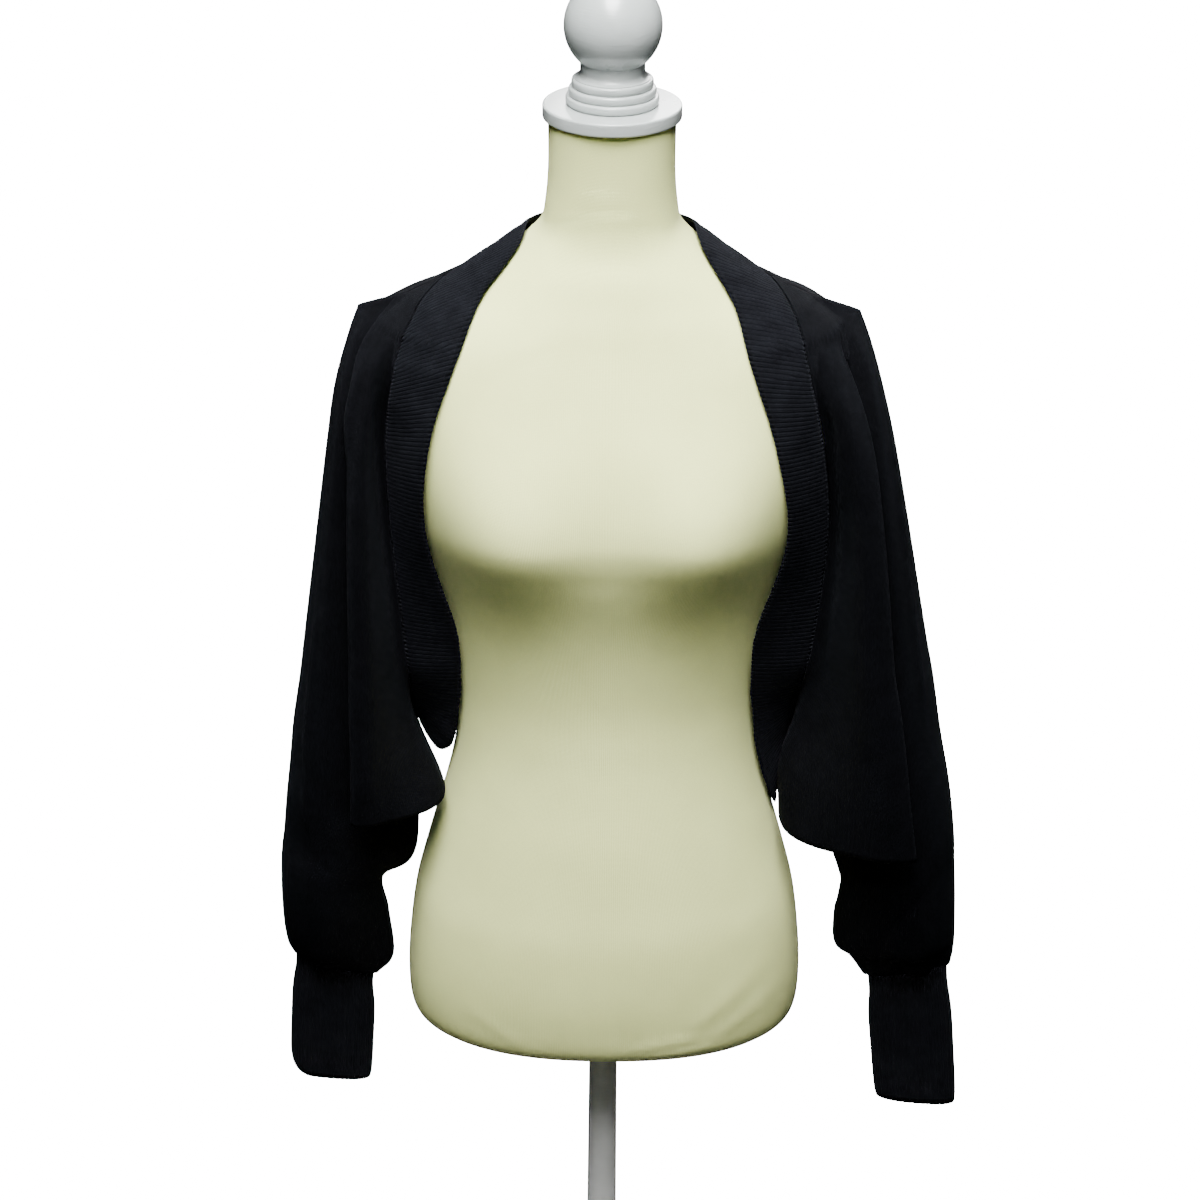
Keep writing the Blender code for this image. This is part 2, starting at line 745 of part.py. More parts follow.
def build_band():
    loop = [(LEFT, row) for row in BAND_NECK + BAND_FRONT[LEFT] + BAND_HEM[LEFT]]
    loop += [(RIGHT, row) for row in BAND_HEM[RIGHT][-2::-1] + BAND_FRONT[RIGHT][::-1] + BAND_NECK[:0:-1]]
    edge = [(side * row.edge_x, row.edge_y, row.edge_drop) for side, row in loop]
    seam = [(side * row.seam_x, row.seam_y, row.seam_drop) for side, row in loop]
    edge = smooth_curve(edge, BAND_ALONG, closed=True)
    seam = smooth_curve(seam, BAND_ALONG, closed=True)
    band = Surface(RIB_WALL)
    count = len(edge)
    for index in range(count):
        ahead = (index + 1) % count
        for step in range(BAND_ACROSS):
            corners = []
            for place_in, across in ((index, step), (index, step + 1), (ahead, step + 1), (ahead, step)):
                where = between(edge[place_in], seam[place_in], across / BAND_ACROSS)
                corners.append(band.point((place_in, across), where, BAND_STAND_BACK))
            band.face("rib_band", corners[::-1])
    normals = band.normals()
    for (index, across), point in band.index_of.items():
        share = across / BAND_ACROSS
        band.points[point] = band.points[point] + normals[point] * BAND_BOW * 4 * share * (1 - share)
    return band


band = build_band()
sheet_solid("rib_band", band, "rib_band", rib)

CUFF_SIDES = 24
CUFF_RINGS = 3
CUFF_SQUARENESS = 2.6


def build_cuff(side, name):
    cuff = CUFFS[side]
    power = 2.0 / CUFF_SQUARENESS
    points, faces = [], []
    for level in range(CUFF_RINGS + 1):
        share = level / CUFF_RINGS
        centre = between(cuff.top_centre, cuff.bottom_centre, share)
        for inset in (0.0, RIB_WALL):
            for step in range(CUFF_SIDES):
                turn = 2 * math.pi * step / CUFF_SIDES
                along, towards = math.cos(turn), math.sin(turn)
                x = (cuff.half_width - inset) * math.copysign(abs(along) ** power, along)
                y = (cuff.half_depth - inset) * math.copysign(abs(towards) ** power, towards)
                top = cuff.top_drop + cuff.top_slant * (1 - x / cuff.half_width) / 2
                points.append(place(side * (centre + x), y, between(top, cuff.bottom_drop, share)))

    def at(level, wall, step):
        return (level * 2 + wall) * CUFF_SIDES + step % CUFF_SIDES

    for step in range(CUFF_SIDES):
        for level in range(CUFF_RINGS):
            for wall in (0, 1):
                ring = [at(level, wall, step), at(level, wall, step + 1)]
                ring += [at(level + 1, wall, step + 1), at(level + 1, wall, step)]
                faces.append(tuple(ring if wall else ring[::-1]))
        for level in (0, CUFF_RINGS):
            faces.append((at(level, 0, step), at(level, 0, step + 1), at(level, 1, step + 1), at(level, 1, step)))
    return add_object(name, points, faces, rib)


build_cuff(LEFT, "cuff_left")
build_cuff(RIGHT, "cuff_right")
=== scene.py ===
"""Looks of a fine-knit open-front shrug on a jersey-covered dress form with a turned wooden cap.

Metres, +Z up; the form faces -Y. Tables are in millimetres, with heights given as a drop below
the top of the neck cap, the way a dressmaker measures. Left and right are the wearer's, left is +X.
"""

import math
from collections import namedtuple

import bmesh
import bpy
import numpy as np
from mathutils import Matrix


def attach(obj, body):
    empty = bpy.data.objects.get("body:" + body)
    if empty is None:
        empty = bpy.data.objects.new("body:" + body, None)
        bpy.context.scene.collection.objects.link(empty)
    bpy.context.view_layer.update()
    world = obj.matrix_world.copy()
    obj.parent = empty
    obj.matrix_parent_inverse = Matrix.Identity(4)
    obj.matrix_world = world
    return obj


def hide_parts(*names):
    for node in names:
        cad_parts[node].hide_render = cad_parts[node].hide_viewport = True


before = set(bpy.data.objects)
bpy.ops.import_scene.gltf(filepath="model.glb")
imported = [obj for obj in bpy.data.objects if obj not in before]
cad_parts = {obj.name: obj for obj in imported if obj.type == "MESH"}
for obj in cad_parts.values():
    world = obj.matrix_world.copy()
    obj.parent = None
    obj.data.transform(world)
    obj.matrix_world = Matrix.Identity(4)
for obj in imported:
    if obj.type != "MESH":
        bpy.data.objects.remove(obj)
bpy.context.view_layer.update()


# --------------------------------------------------------------------------------------------------
# Stand base: a round spun-steel foot plate with a low collar pressed up in its middle, sprayed
# white. It is the flat face that everything else stands on.

MM = 0.001
TURNED_SIDES = 128

BASE_RADIUS = 150.0
BASE_THICKNESS = 16.0
COLLAR_RADIUS = 22.0
COLLAR_HEIGHT = 34.0


def add_node(tree, kind, **settings):
    """A node with its settings; a setting named after an input sets that input, or links to it."""
    node = tree.nodes.new(kind)
    for name, value in settings.items():
        name = name.replace("_", " ") if name.replace("_", " ") in node.inputs else name
        if name in node.inputs:
            if isinstance(value, bpy.types.NodeSocket):
                tree.links.new(value, node.inputs[name])
            else:
                node.inputs[name].default_value = value
        else:
            setattr(node, name, value)
    return node


def maths(tree, operation, first, second=0.0, third=0.0):
    """One Math node; each operand is a number or another node's output."""
    node = tree.nodes.new("ShaderNodeMath")
    node.operation = operation
    for socket, value in zip(node.inputs, (first, second, third)):
        if isinstance(value, bpy.types.NodeSocket):
            tree.links.new(value, socket)
        else:
            socket.default_value = value
    return node.outputs[0]


def ranged(tree, value, low, high, start=0.0, end=1.0):
    """A value's range from low to high, stretched to run from start to end."""
    node = add_node(tree, "ShaderNodeMapRange", Value=value)
    for name, setting in zip(("From Min", "From Max", "To Min", "To Max"), (low, high, start, end)):
        node.inputs[name].default_value = setting
    return node.outputs["Result"]


def new_finish(name):
    """A material, its tree and its Principled shader."""
    material = bpy.data.materials.new(name)
    material.use_nodes = True
    return material, material.node_tree, material.node_tree.nodes["Principled BSDF"]


def two_tones(tree, factor, dark, light):
    """Colour between two tones, by a factor from 0 to 1."""
    mix = tree.nodes.new("ShaderNodeMix")
    mix.data_type = "RGBA"
    tree.links.new(factor, mix.inputs["Factor"])
    mix.inputs["A"].default_value = (*dark, 1.0)
    mix.inputs["B"].default_value = (*light, 1.0)
    return mix.outputs["Result"]


def painted(name, colour, dull, roughness, grain_size, grain_depth):
    """Gloss paint over turned wood or steel: brush marks and a soft random mottle of duller, rougher paint.
    """
    material, tree, shader = new_finish(name)
    place_in = add_node(tree, "ShaderNodeTexCoord").outputs["Object"]
    mottle = add_node(tree, "ShaderNodeTexNoise", Vector=place_in, Scale=28.0, Detail=6.0).outputs["Fac"]
    grime = ranged(tree, mottle, 0.30, 0.62)
    tree.links.new(two_tones(tree, grime, dull, colour), shader.inputs["Base Color"])
    turning = add_node(tree, "ShaderNodeMapping", Vector=place_in, Scale=(1.0, 1.0, 9.0))
    marks = add_node(tree, "ShaderNodeTexNoise", Vector=turning.outputs[0], Scale=grain_size, Detail=4.0)
    bump = add_node(tree, "ShaderNodeBump", Height=marks.outputs["Fac"], Strength=0.5, Distance=grain_depth)
    tree.links.new(bump.outputs[0], shader.inputs["Normal"])
    wear = ranged(tree, mottle, 0.0, 1.0, roughness + 0.10, roughness - 0.04)
    tree.links.new(wear, shader.inputs["Roughness"])
    shader.inputs["Coat Weight"].default_value = 0.35
    shader.inputs["Coat Roughness"].default_value = 0.12
    return material


def finish_mesh(name, points, faces, material, corner_uvs=None, sharp=40.0):
    """An object from points in metres: doubles merged, faces outwards, smooth but for its edges."""
    mesh = bpy.data.meshes.new(name)
    mesh.from_pydata([tuple(point) for point in points], [], [tuple(face) for face in faces])
    if corner_uvs is not None:
        layer = mesh.uv_layers.new(name="UVMap")
        layer.uv.foreach_set("vector", np.asarray(corner_uvs, np.float32).ravel())
    work = bmesh.new()
    work.from_mesh(mesh)
    bmesh.ops.remove_doubles(work, verts=work.verts, dist=2e-6)
    bmesh.ops.dissolve_degenerate(work, edges=work.edges, dist=2e-6)
    bmesh.ops.recalc_face_normals(work, faces=work.faces)
    if work.calc_volume(signed=True) < 0:
        bmesh.ops.reverse_faces(work, faces=work.faces)
    work.to_mesh(mesh)
    work.free()
    mesh.materials.append(material)
    mesh.shade_smooth()
    mesh.set_sharp_from_angle(angle=math.radians(sharp))
    thing = bpy.data.objects.new(name, mesh)
    bpy.context.scene.collection.objects.link(thing)
    return thing


def turned_piece(name, profile, material):
    """A lathe-turned solid about the pole's axis, from (radius, height) in mm, foot to top."""
    profile = [(0.0, profile[0][1])] + list(profile) + [(0.0, profile[-1][1])]
    points, faces = [], []
    for radius, height in profile:
        for step in range(TURNED_SIDES):
            turn = 2 * math.pi * step / TURNED_SIDES
            points.append((radius * math.cos(turn) * MM, radius * math.sin(turn) * MM, height * MM))
    for level in range(len(profile) - 1):
        for step in range(TURNED_SIDES):
            ahead = (step + 1) % TURNED_SIDES
            low, high = level * TURNED_SIDES, (level + 1) * TURNED_SIDES
            faces.append((low + step, low + ahead, high + ahead, high + step))
    return finish_mesh(name, points, faces, material)


def rounded(start, corner, end, radius, steps=6):
    """Points round a turned edge: a curve that leaves start-corner-end by the given radius."""
    start, corner, end = (np.array(point, float) for point in (start, corner, end))
    back = start - corner
    on = end - corner
    first = corner + back / np.linalg.norm(back) * radius
    last = corner + on / np.linalg.norm(on) * radius
    curve = []
    for step in range(steps + 1):
        t = step / steps
        curve.append(tuple((1 - t) ** 2 * first + 2 * t * (1 - t) * corner + t**2 * last))
    return curve


base_paint = painted("sprayed_steel", (0.80, 0.80, 0.79), (0.70, 0.70, 0.69), 0.34, 260.0, 0.00012)
base_profile = [(BASE_RADIUS - 1.0, 0.0)]
base_profile += rounded((BASE_RADIUS, 0), (BASE_RADIUS, BASE_THICKNESS), (80, BASE_THICKNESS), 5.5)
base_profile += rounded((80, BASE_THICKNESS), (COLLAR_RADIUS + 1, BASE_THICKNESS), (COLLAR_RADIUS, 40), 6.0)
base_profile += rounded(
    (COLLAR_RADIUS, 20),
    (COLLAR_RADIUS - 2.0, BASE_THICKNESS + COLLAR_HEIGHT),
    (0, BASE_THICKNESS + COLLAR_HEIGHT),
    2.5,
)
base = turned_piece("foot_plate", base_profile, base_paint)
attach(base, "root")
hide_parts("stand_base")


# --------------------------------------------------------------------------------------------------
# Pole: a slim upright steel tube, sprayed like the base, that drops into the base's collar and
# carries the form's body on its top end.

CAP_TOP = 1098.0
FORM_FOOT_DROP = 745.0
POLE_TOP_RADIUS = 11.0
POLE_FOOT_RADIUS = 12.5
POLE_FOOT = BASE_THICKNESS + COLLAR_HEIGHT + 0.3
POLE_END = CAP_TOP - FORM_FOOT_DROP - 0.3

pole_paint = painted("sprayed_tube", (0.84, 0.85, 0.83), (0.74, 0.75, 0.73), 0.36, 320.0, 0.00008)
pole_profile = []
for step in range(13):
    share = step / 12
    radius = POLE_FOOT_RADIUS + (POLE_TOP_RADIUS - POLE_FOOT_RADIUS) * share
    pole_profile.append((radius, POLE_FOOT + (POLE_END - POLE_FOOT) * share))
pole = turned_piece("pole_tube", pole_profile, pole_paint)
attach(pole, "root")
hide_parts("stand_pole")


# --------------------------------------------------------------------------------------------------
# Form body: moulded foam, pulled into one seamless cover of ivory stretch jersey that is drawn
# under the neck cap and gathered under the foot. Its shape is a table of girths, eased between rows.

Girth = namedtuple("Girth", "drop half_width front back")

FORM_GIRTHS = [
    Girth(10.0, 44.5, 44, 45),
    Girth(45, 44.5, 43, 46),
    Girth(70, 46.5, 43, 50),
    Girth(86, 50, 44, 48),
    Girth(99, 62, 47, 48),
    Girth(114, 81, 54, 50),
    Girth(130, 106, 60, 55),
    Girth(145, 136, 66, 65),
    Girth(160, 160, 71, 79),
    Girth(178, 170, 77, 88),
    Girth(205, 168, 85, 96),
    Girth(225, 163, 90.5, 97.5),
    Girth(245, 158, 94.5, 98),
    Girth(268, 152.5, 97, 98.5),
    Girth(290, 147, 98, 98),
    Girth(306, 143.5, 97, 97),
    Girth(322, 139, 95, 95.5),
    Girth(345, 132, 91.5, 92),
    Girth(395, 119, 80, 84),
    Girth(445, 112.5, 74, 80),
    Girth(485, 113, 76, 82),
    Girth(520, 118.5, 81, 86),
    Girth(558, 128, 87, 92),
    Girth(598, 139, 92, 98),
    Girth(637, 148.5, 97, 103),
    Girth(683, 154, 99, 106),
    Girth(716, 155, 98, 105),
    Girth(736, 152.5, 95.5, 102.5),
    Girth(745, 145, 88, 95),
]
FORM_SQUARENESS = 2.3
FORM_SIDES = 240
FORM_GIRTH = 0.85          # way round the cover at its fullest, in metres
GIRTH_STEPS = 5            # levels between two girths
BUST_APEX_X = 72.0
BUST_DROP = 292.0
BUST_PROUD = 24.0
BUST_SPREAD = 40.0
BUST_RISE = 50.0
BUST_FALL = 34.0

# Faint wrinkles of the cover: where each runs, how wide and how high it stands.
Wrinkle = namedtuple("Wrinkle", "start_x start_drop end_x end_drop width height")

COVER_WRINKLES = [
    Wrinkle(66, 712, 132, 660, 5.0, 0.9),
    Wrinkle(84, 724, 140, 690, 4.0, 0.8),
    Wrinkle(20, 728, 78, 719, 3.5, 0.8),
    Wrinkle(28, 737, 92, 731, 3.0, 0.7),
    Wrinkle(96, 640, 128, 604, 6.0, 0.5),
    Wrinkle(-18, 72, 22, 70, 3.0, 0.45),
    Wrinkle(-30, 55, 14, 58, 3.5, 0.35),
    Wrinkle(-96, 168, -40, 150, 7.0, 0.6),
    Wrinkle(-110, 700, -62, 728, 5.0, 0.5),
]


def smooth(points, steps, closed=False):
    """A curve, or a sheet's rows, eased through the given ones with steps pieces between each two."""
    points = np.asarray(points, float)
    if closed:
        before, here, ahead, after = (np.roll(points, shift, 0) for shift in (1, 0, -1, -2))
    else:
        start = 2 * points[:1] - points[1:2]
        end = 2 * points[-1:] - points[-2:-1]
        padded = np.concatenate([start, points, end])
        before, here, ahead, after = padded[:-3], padded[1:-2], padded[2:-1], padded[3:]
    share = (np.arange(steps) / steps).reshape((1, steps) + (1,) * (points.ndim - 1))
    before, here, ahead, after = (part[:, None] for part in (before, here, ahead, after))
    curve = 0.5 * (
        2 * here
        + (ahead - before) * share
        + (2 * before - 5 * here + 4 * ahead - after) * share**2
        + (3 * here - before - 3 * ahead + after) * share**3
    )
    curve = curve.reshape((-1,) + points.shape[1:])
    return curve if closed else np.concatenate([curve, points[-1:]])


def metres(points):
    """Points in mm across, mm deep and mm dropped, as metres above the floor."""
    points = np.asarray(points, float)
    lifted = points.copy()
    lifted[..., 2] = CAP_TOP - points[..., 2]
    return lifted * MM


def bust(x, drop):
    """How far the soft bust stands proud of the chest."""
    tall = np.where(drop < BUST_DROP, BUST_RISE, BUST_FALL)
    proud = 0.0
    for apex in (-BUST_APEX_X, BUST_APEX_X):
        across = (x - apex) / BUST_SPREAD
        proud = proud + BUST_PROUD * np.exp(-(across**2) / 2 - ((drop - BUST_DROP) / tall) ** 2 / 2)
    return proud


def along_line(across, down, wrinkle):
    """Distance from each point to a wrinkle's line, and the share of the way along it."""
    run = np.array([wrinkle.end_x - wrinkle.start_x, wrinkle.end_drop - wrinkle.start_drop], float)
    way = ((across - wrinkle.start_x) * run[0] + (down - wrinkle.start_drop) * run[1]) / (run @ run)
    held = np.clip(way, 0, 1)
    away = np.hypot(across - wrinkle.start_x - held * run[0], down - wrinkle.start_drop - held * run[1])
    return away, held


girths = smooth([tuple(girth) for girth in FORM_GIRTHS], GIRTH_STEPS)
turns = 2 * math.pi * np.arange(FORM_SIDES) / FORM_SIDES
power = 2.0 / FORM_SQUARENESS
along, towards = np.cos(turns)[None], np.sin(turns)[None]
drops, widths, fronts, backs = (girths[:, column, None] for column in range(4))
form_x = widths * np.sign(along) * np.abs(along) ** power
form_y = np.where(towards > 0, backs, fronts) * np.sign(towards) * np.abs(towards) ** power
forward = bust(form_x, drops) * (1 - np.abs(form_x / widths) ** 6)
for wrinkle in COVER_WRINKLES:
    away, held = along_line(form_x, drops + 0 * form_x, wrinkle)
    ridge = np.exp(-((away / wrinkle.width) ** 2)) * np.sin(math.pi * held) ** 0.5
    forward = forward + wrinkle.height * ridge
form_y = form_y - np.where(towards < 0, forward, 0.0)
form_net = np.stack([form_x, form_y, drops + 0 * form_x], axis=-1)


def net_faces(rows, columns, closed_rows=False, closed_columns=False):
    """Faces of a net of points, with the unwrapped (row, column) of each face's corners."""
    faces, corners = [], []
    for row in range(rows if closed_rows else rows - 1):
        for column in range(columns if closed_columns else columns - 1):
            ring = [(row, column), (row, column + 1), (row + 1, column + 1), (row + 1, column)]
            faces.append([r % rows * columns + c % columns for r, c in ring])
            corners += ring
    return faces, np.array(corners)


def arc_lengths(net, axis):
    """Mean distance along the net's rows or columns, in metres."""
    steps = np.linalg.norm(np.diff(net, axis=axis), axis=-1).mean(axis=1 - axis)
    return np.concatenate([[0.0], np.cumsum(steps)])


def knit_height(tree, wale, course):
    """Relief of plain knit: columns of stitches, each a leaning pair of strands."""
    place_on = add_node(tree, "ShaderNodeUVMap").outputs[0]
    split = add_node(tree, "ShaderNodeSeparateXYZ", Vector=place_on)
    across = maths(tree, "MULTIPLY", split.outputs[0], math.pi / wale)
    strand = maths(tree, "ABSOLUTE", maths(tree, "SINE", across))
    lean = maths(tree, "MULTIPLY", strand, 1.8)
    down = maths(tree, "MULTIPLY", split.outputs[1], 2 * math.pi / course)
    stitch = maths(tree, "SINE", maths(tree, "ADD", down, lean))
    return maths(tree, "MULTIPLY_ADD", stitch, 0.35, strand)


def knit_finish(name, dark, light, sheen, sheen_tint, gloss, roughness, wale, course, depth, mottle_size):
    """Knitted yarn: stitches in relief, a fuzz of loose fibre, a soft mottle and a nap."""
    material, tree, shader = new_finish(name)
    place_in = add_node(tree, "ShaderNodeTexCoord").outputs["Object"]
    mottle = add_node(tree, "ShaderNodeTexNoise", Vector=place_in, Scale=mottle_size, Detail=5.0)
    fuzz = add_node(tree, "ShaderNodeTexNoise", Vector=place_in, Scale=1400.0, Detail=3.0)
    soft = maths(tree, "MULTIPLY", mottle.outputs["Fac"], 0.7)
    blend = maths(tree, "MULTIPLY_ADD", fuzz.outputs["Fac"], 0.6, soft)
    tone = ranged(tree, blend, 0.42, 0.86)
    tree.links.new(two_tones(tree, tone, dark, light), shader.inputs["Base Color"])
    knit = knit_height(tree, wale, course)
    height = maths(tree, "MULTIPLY_ADD", fuzz.outputs["Fac"], 0.9, knit)
    bump = add_node(tree, "ShaderNodeBump", Height=height, Strength=0.8, Distance=depth)
    tree.links.new(bump.outputs[0], shader.inputs["Normal"])
    shader.inputs["Roughness"].default_value = roughness
    shader.inputs["Sheen Weight"].default_value = sheen
    shader.inputs["Sheen Roughness"].default_value = 0.45
    shader.inputs["Sheen Tint"].default_value = (*sheen_tint, 1.0)
    shader.inputs["Specular IOR Level"].default_value = gloss
    return material


ivory = knit_finish(
    "ivory_jersey",
    dark=(0.74, 0.79, 0.31),
    light=(0.86, 0.92, 0.37),
    sheen=0.10,
    sheen_tint=(1.0, 1.0, 0.9),
    gloss=0.2,
    roughness=0.80,
    wale=0.0011,
    course=0.0010,
    depth=0.00010,
    mottle_size=14.0,
)
form_faces, form_corners = net_faces(len(girths), FORM_SIDES, closed_columns=True)
girth_way = np.arange(FORM_SIDES + 1) * (FORM_GIRTH / FORM_SIDES)
drop_way = arc_lengths(form_net, 0) * MM
form_uvs = np.stack([girth_way[form_corners[:, 1]], drop_way[form_corners[:, 0]]], axis=-1)
form_points = list(metres(form_net).reshape(-1, 3))
for level, centre_drop in ((0, FORM_GIRTHS[0].drop), (len(girths) - 1, FORM_GIRTHS[-1].drop)):
    form_points.append(metres((0.0, 0.0, centre_drop)))
    for step in range(FORM_SIDES):
        first, second = level * FORM_SIDES + step, level * FORM_SIDES + (step + 1) % FORM_SIDES
        form_faces.append([first, second, len(form_points) - 1])
        form_uvs = np.concatenate([form_uvs, [[0, 0], [0.004, 0], [0.002, 0.06]]])
form = finish_mesh("form_cover", form_points, form_faces, ivory, form_uvs, sharp=60.0)
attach(form, "root")
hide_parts("form_torso")


# --------------------------------------------------------------------------------------------------
# Neck cap: a turned wooden disc, brush-painted gloss white, screwed down on the neck over the
# raw edge of the cover. Its arris is rubbed round.

CAP_RADIUS = 48.5
CAP_BOTTOM = CAP_TOP - FORM_GIRTHS[0].drop + 0.3

wood_paint = painted("painted_wood", (0.41, 0.44, 0.43), (0.33, 0.36, 0.35), 0.26, 90.0, 0.00035)
cap_profile = rounded((0, CAP_BOTTOM), (CAP_RADIUS, CAP_BOTTOM), (CAP_RADIUS, CAP_TOP), 1.6)
cap_profile += rounded((CAP_RADIUS, CAP_BOTTOM), (CAP_RADIUS, CAP_TOP), (0, CAP_TOP), 1.6)
cap = turned_piece("cap_disc", cap_profile, wood_paint)
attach(cap, "root")
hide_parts("neck_cap")


# --------------------------------------------------------------------------------------------------
# Finial: one turning, three stepped rings under a slim waist and a ball, glued and dowelled to the
# cap and painted with it.

RING_RADII = (32.5, 30.5, 28.5)
RING_RISE = 6.0
WAIST_RADIUS = 22.5
BALL_RADIUS = 34.0
BALL_CENTRE = CAP_TOP + 55.0

finial_profile = []
for index, radius in enumerate(RING_RADII):
    foot = CAP_TOP + 0.3 + index * RING_RISE
    crown = foot + RING_RISE
    finial_profile += [(radius - 0.9, foot + 0.2), (radius - 0.2, foot + 1.2), (radius, foot + 2.6)]
    finial_profile += rounded((radius, foot), (radius - 0.1, crown), (0, crown), 2.0, 5)
finial_profile += rounded(
    (RING_RADII[-1], crown),
    (WAIST_RADIUS, CAP_TOP + 20.0),
    (WAIST_RADIUS, CAP_TOP + 60),
    4.0,
)
waist_angle = -math.acos(WAIST_RADIUS / BALL_RADIUS)
for step in range(45):
    angle = waist_angle + (math.radians(89.0) - waist_angle) * step / 44
    finial_profile.append((BALL_RADIUS * math.cos(angle), BALL_CENTRE + BALL_RADIUS * math.sin(angle)))
finial = turned_piece("finial_ball", finial_profile, wood_paint)
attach(finial, "root")
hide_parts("finial")


# --------------------------------------------------------------------------------------------------
# Shrug back: fine black jersey, one panel from the back neck to the hem band, cut in one with the
# backs of both batwing sleeves. It hangs from the shoulders and falls into a soft fold by each side.
# Its net and the two fronts' are one, so that they meet along the top of each sleeve.

LEFT, RIGHT = 1, -1

Station = namedtuple("Station", "edge_x edge_y edge_drop seam_x seam_y seam_drop")

BAND_NECK = [
    Station(0, 56, 93, 0, 80, 130),
    Station(30, 49, 93, 46, 69, 129),
    Station(48, 28, 95, 78, 48, 129),
]
BAND_FRONT = {
    LEFT: [
        Station(53, -9, 101, 112, 8, 133),
        Station(83, -43, 125, 129, -30, 145),
        Station(97, -66, 166, 139, -51, 178),
        Station(117.5, -77, 228, 152, -50, 232),
        Station(128, -67, 303, 160, -36, 308),
        Station(108, -47, 390, 154, -30, 396),
        Station(106, -39, 428, 149, -25, 432),
        Station(109, -30, 470, 144, -6, 466),
        Station(115, -26, 512, 141, 6, 490),
        Station(128, -10, 556, 139, 16, 513),
    ],
    RIGHT: [
        Station(55, -9, 101, 118, 8, 137),
        Station(86, -38, 122, 141, -32, 154),
        Station(103.5, -61, 160, 153, -45, 185),
        Station(125.5, -75, 222, 160, -38, 236),
        Station(131, -64, 300, 159, -33, 305),
        Station(109, -43, 396, 152, -30, 398),
        Station(108, -37, 428, 149, -27, 432),
        Station(111, -27, 470, 148, -8, 464),
        Station(117, -20, 500, 146, 6, 482),
        Station(128, 0, 516, 141, 18, 500),
    ],
}
BAND_HEM = {
    LEFT: [
        Station(124, 54, 566, 127, 68, 513),
        Station(88, 90, 555, 90, 100, 511),
        Station(45, 101, 550, 45, 108, 507),
        Station(0, 103, 548, 0, 110, 505),
    ],
    RIGHT: [
        Station(124, 54, 533, 127, 68, 498),
        Station(88, 90, 541, 90, 100, 500),
        Station(45, 101, 547, 45, 108, 504),
        Station(0, 103, 548, 0, 110, 505),
    ],
}

Hang = namedtuple("Hang", "fold_x pleat outer_x outer_drop trough")

PANEL_HANG = {
    LEFT: [
        Hang(150, 3, 178.5, 155.5, 0.16),
        Hang(164, 4, 186, 174, 0.16),
        Hang(177, 7, 195.5, 205, 0.16),
        Hang(190, 13, 207.5, 252, 0.16),
        Hang(200, 24, 222, 322, 0.16),
        Hang(210, 34, 239.5, 412, 0.16),
        Hang(217, 39, 247.5, 450, 0.16),
        Hang(224, 43, 255.5, 496, 0.06),
        Hang(230, 47, 265.5, 545, -0.07),
        Hang(236, 50, 271.5, 588, -0.04),
    ],
    RIGHT: [
        Hang(152, 3, 180, 154.5, 0.16),
        Hang(176, 4, 188, 176, 0.16),
        Hang(184, 5, 198.5, 214, 0.16),
        Hang(186, 8, 205.5, 258, 0.16),
        Hang(188, 12, 214.5, 322, 0.16),
        Hang(189, 16, 227, 412, 0.16),
        Hang(190, 18, 232.5, 452, 0.16),
        Hang(190, 19, 239, 492, 0.03),
        Hang(191, 20, 243, 528, -0.18),
        Hang(192, 21, 246.5, 556, -0.35),
    ],
}

Depth = namedtuple(
    "Depth", "ridge fold turn sleeve back crease side_x side_y side_drop centre_y centre_drop"
)

FOLD_DEPTHS = [
    Depth(9, 10, 11, 11, 12, 12, 135, 10, 139, 83, 120),
    Depth(-34, -24, -20, -14, 32, 45, 142, 56, 157, 95, 150),
    Depth(-54, -40, -36, -26, 46, 66, 146, 80, 196, 107, 183),
    Depth(-64, -52, -42, -33, 54, 78, 152, 92, 248, 114, 236),
    Depth(-68, -57, -40, -36, 56, 72, 154, 90, 318, 115, 300),
    Depth(-70, -60, -37, -38, 55, 60, 150, 80, 398, 114, 364),
    Depth(-70, -61, -35, -39, 54, 55, 147, 72, 432, 113, 394),
    Depth(-70, -62, -33, -40, 52, 50, 145, 58, 464, 112, 424),
    Depth(-71, -63, -31, -40, 49, 46, 142, 38, 488, 111, 458),
    Depth(-70, -62, -29, -39, 46, 40, 138, 22, 504, 110, 505),
]

Tube = namedtuple("Tube", "drop slant inner_x inner_y outer_x front back")

SLEEVE_END = {
    LEFT: [
        Tube(614, 2, 184, -22, 273.5, -38, 42),
        Tube(648, 2, 181, -17, 276, -36, 38),
        Tube(680, 4, 183, -10, 277.5, -31, 33),
        Tube(692, 8, 196, -4, 277.5, -21, 22),
        Tube(708, 12, 208, 0, 275.5, -12.5, 12.5),
    ],
    RIGHT: [
        Tube(590, 4, 147, -16, 250, -39, 42),
        Tube(614, 4, 173, -22, 253, -38, 41),
        Tube(650, 4, 170, -17, 254, -36, 37),
        Tube(685, 15, 168, -8, 252.5, -27, 29),
        Tube(701, 22, 181.5, 0, 247, -12.5, 12.5),
    ],
}

RIDGE_SHARE = 0.58
SLEEVE_FRONT_SHARE = 0.38
SLEEVE_BACK_SHARE = 0.25
CREASE_SHARE = 0.62
BACK_SHARES = (0.76, 0.55, 0.30)
BACK_SQUARENESS = 2.6
FLAP_STATIONS = 3
LAP_OVER_BAND = 4.5
LIP_SAG = 4.0

JERSEY_WALL = 1.5
CLOTH_CLEARANCE = 3.2      # air between the form and the cloth's inner face, before any crease

ACROSS = 14                # quads between two columns of the net
DOWN = 12                  # quads between two stations
TURN, OUTER, SIDE, CENTRE = 4, 6, 9, 13     # columns: panel's fold, sleeve's edge, underarm, spine

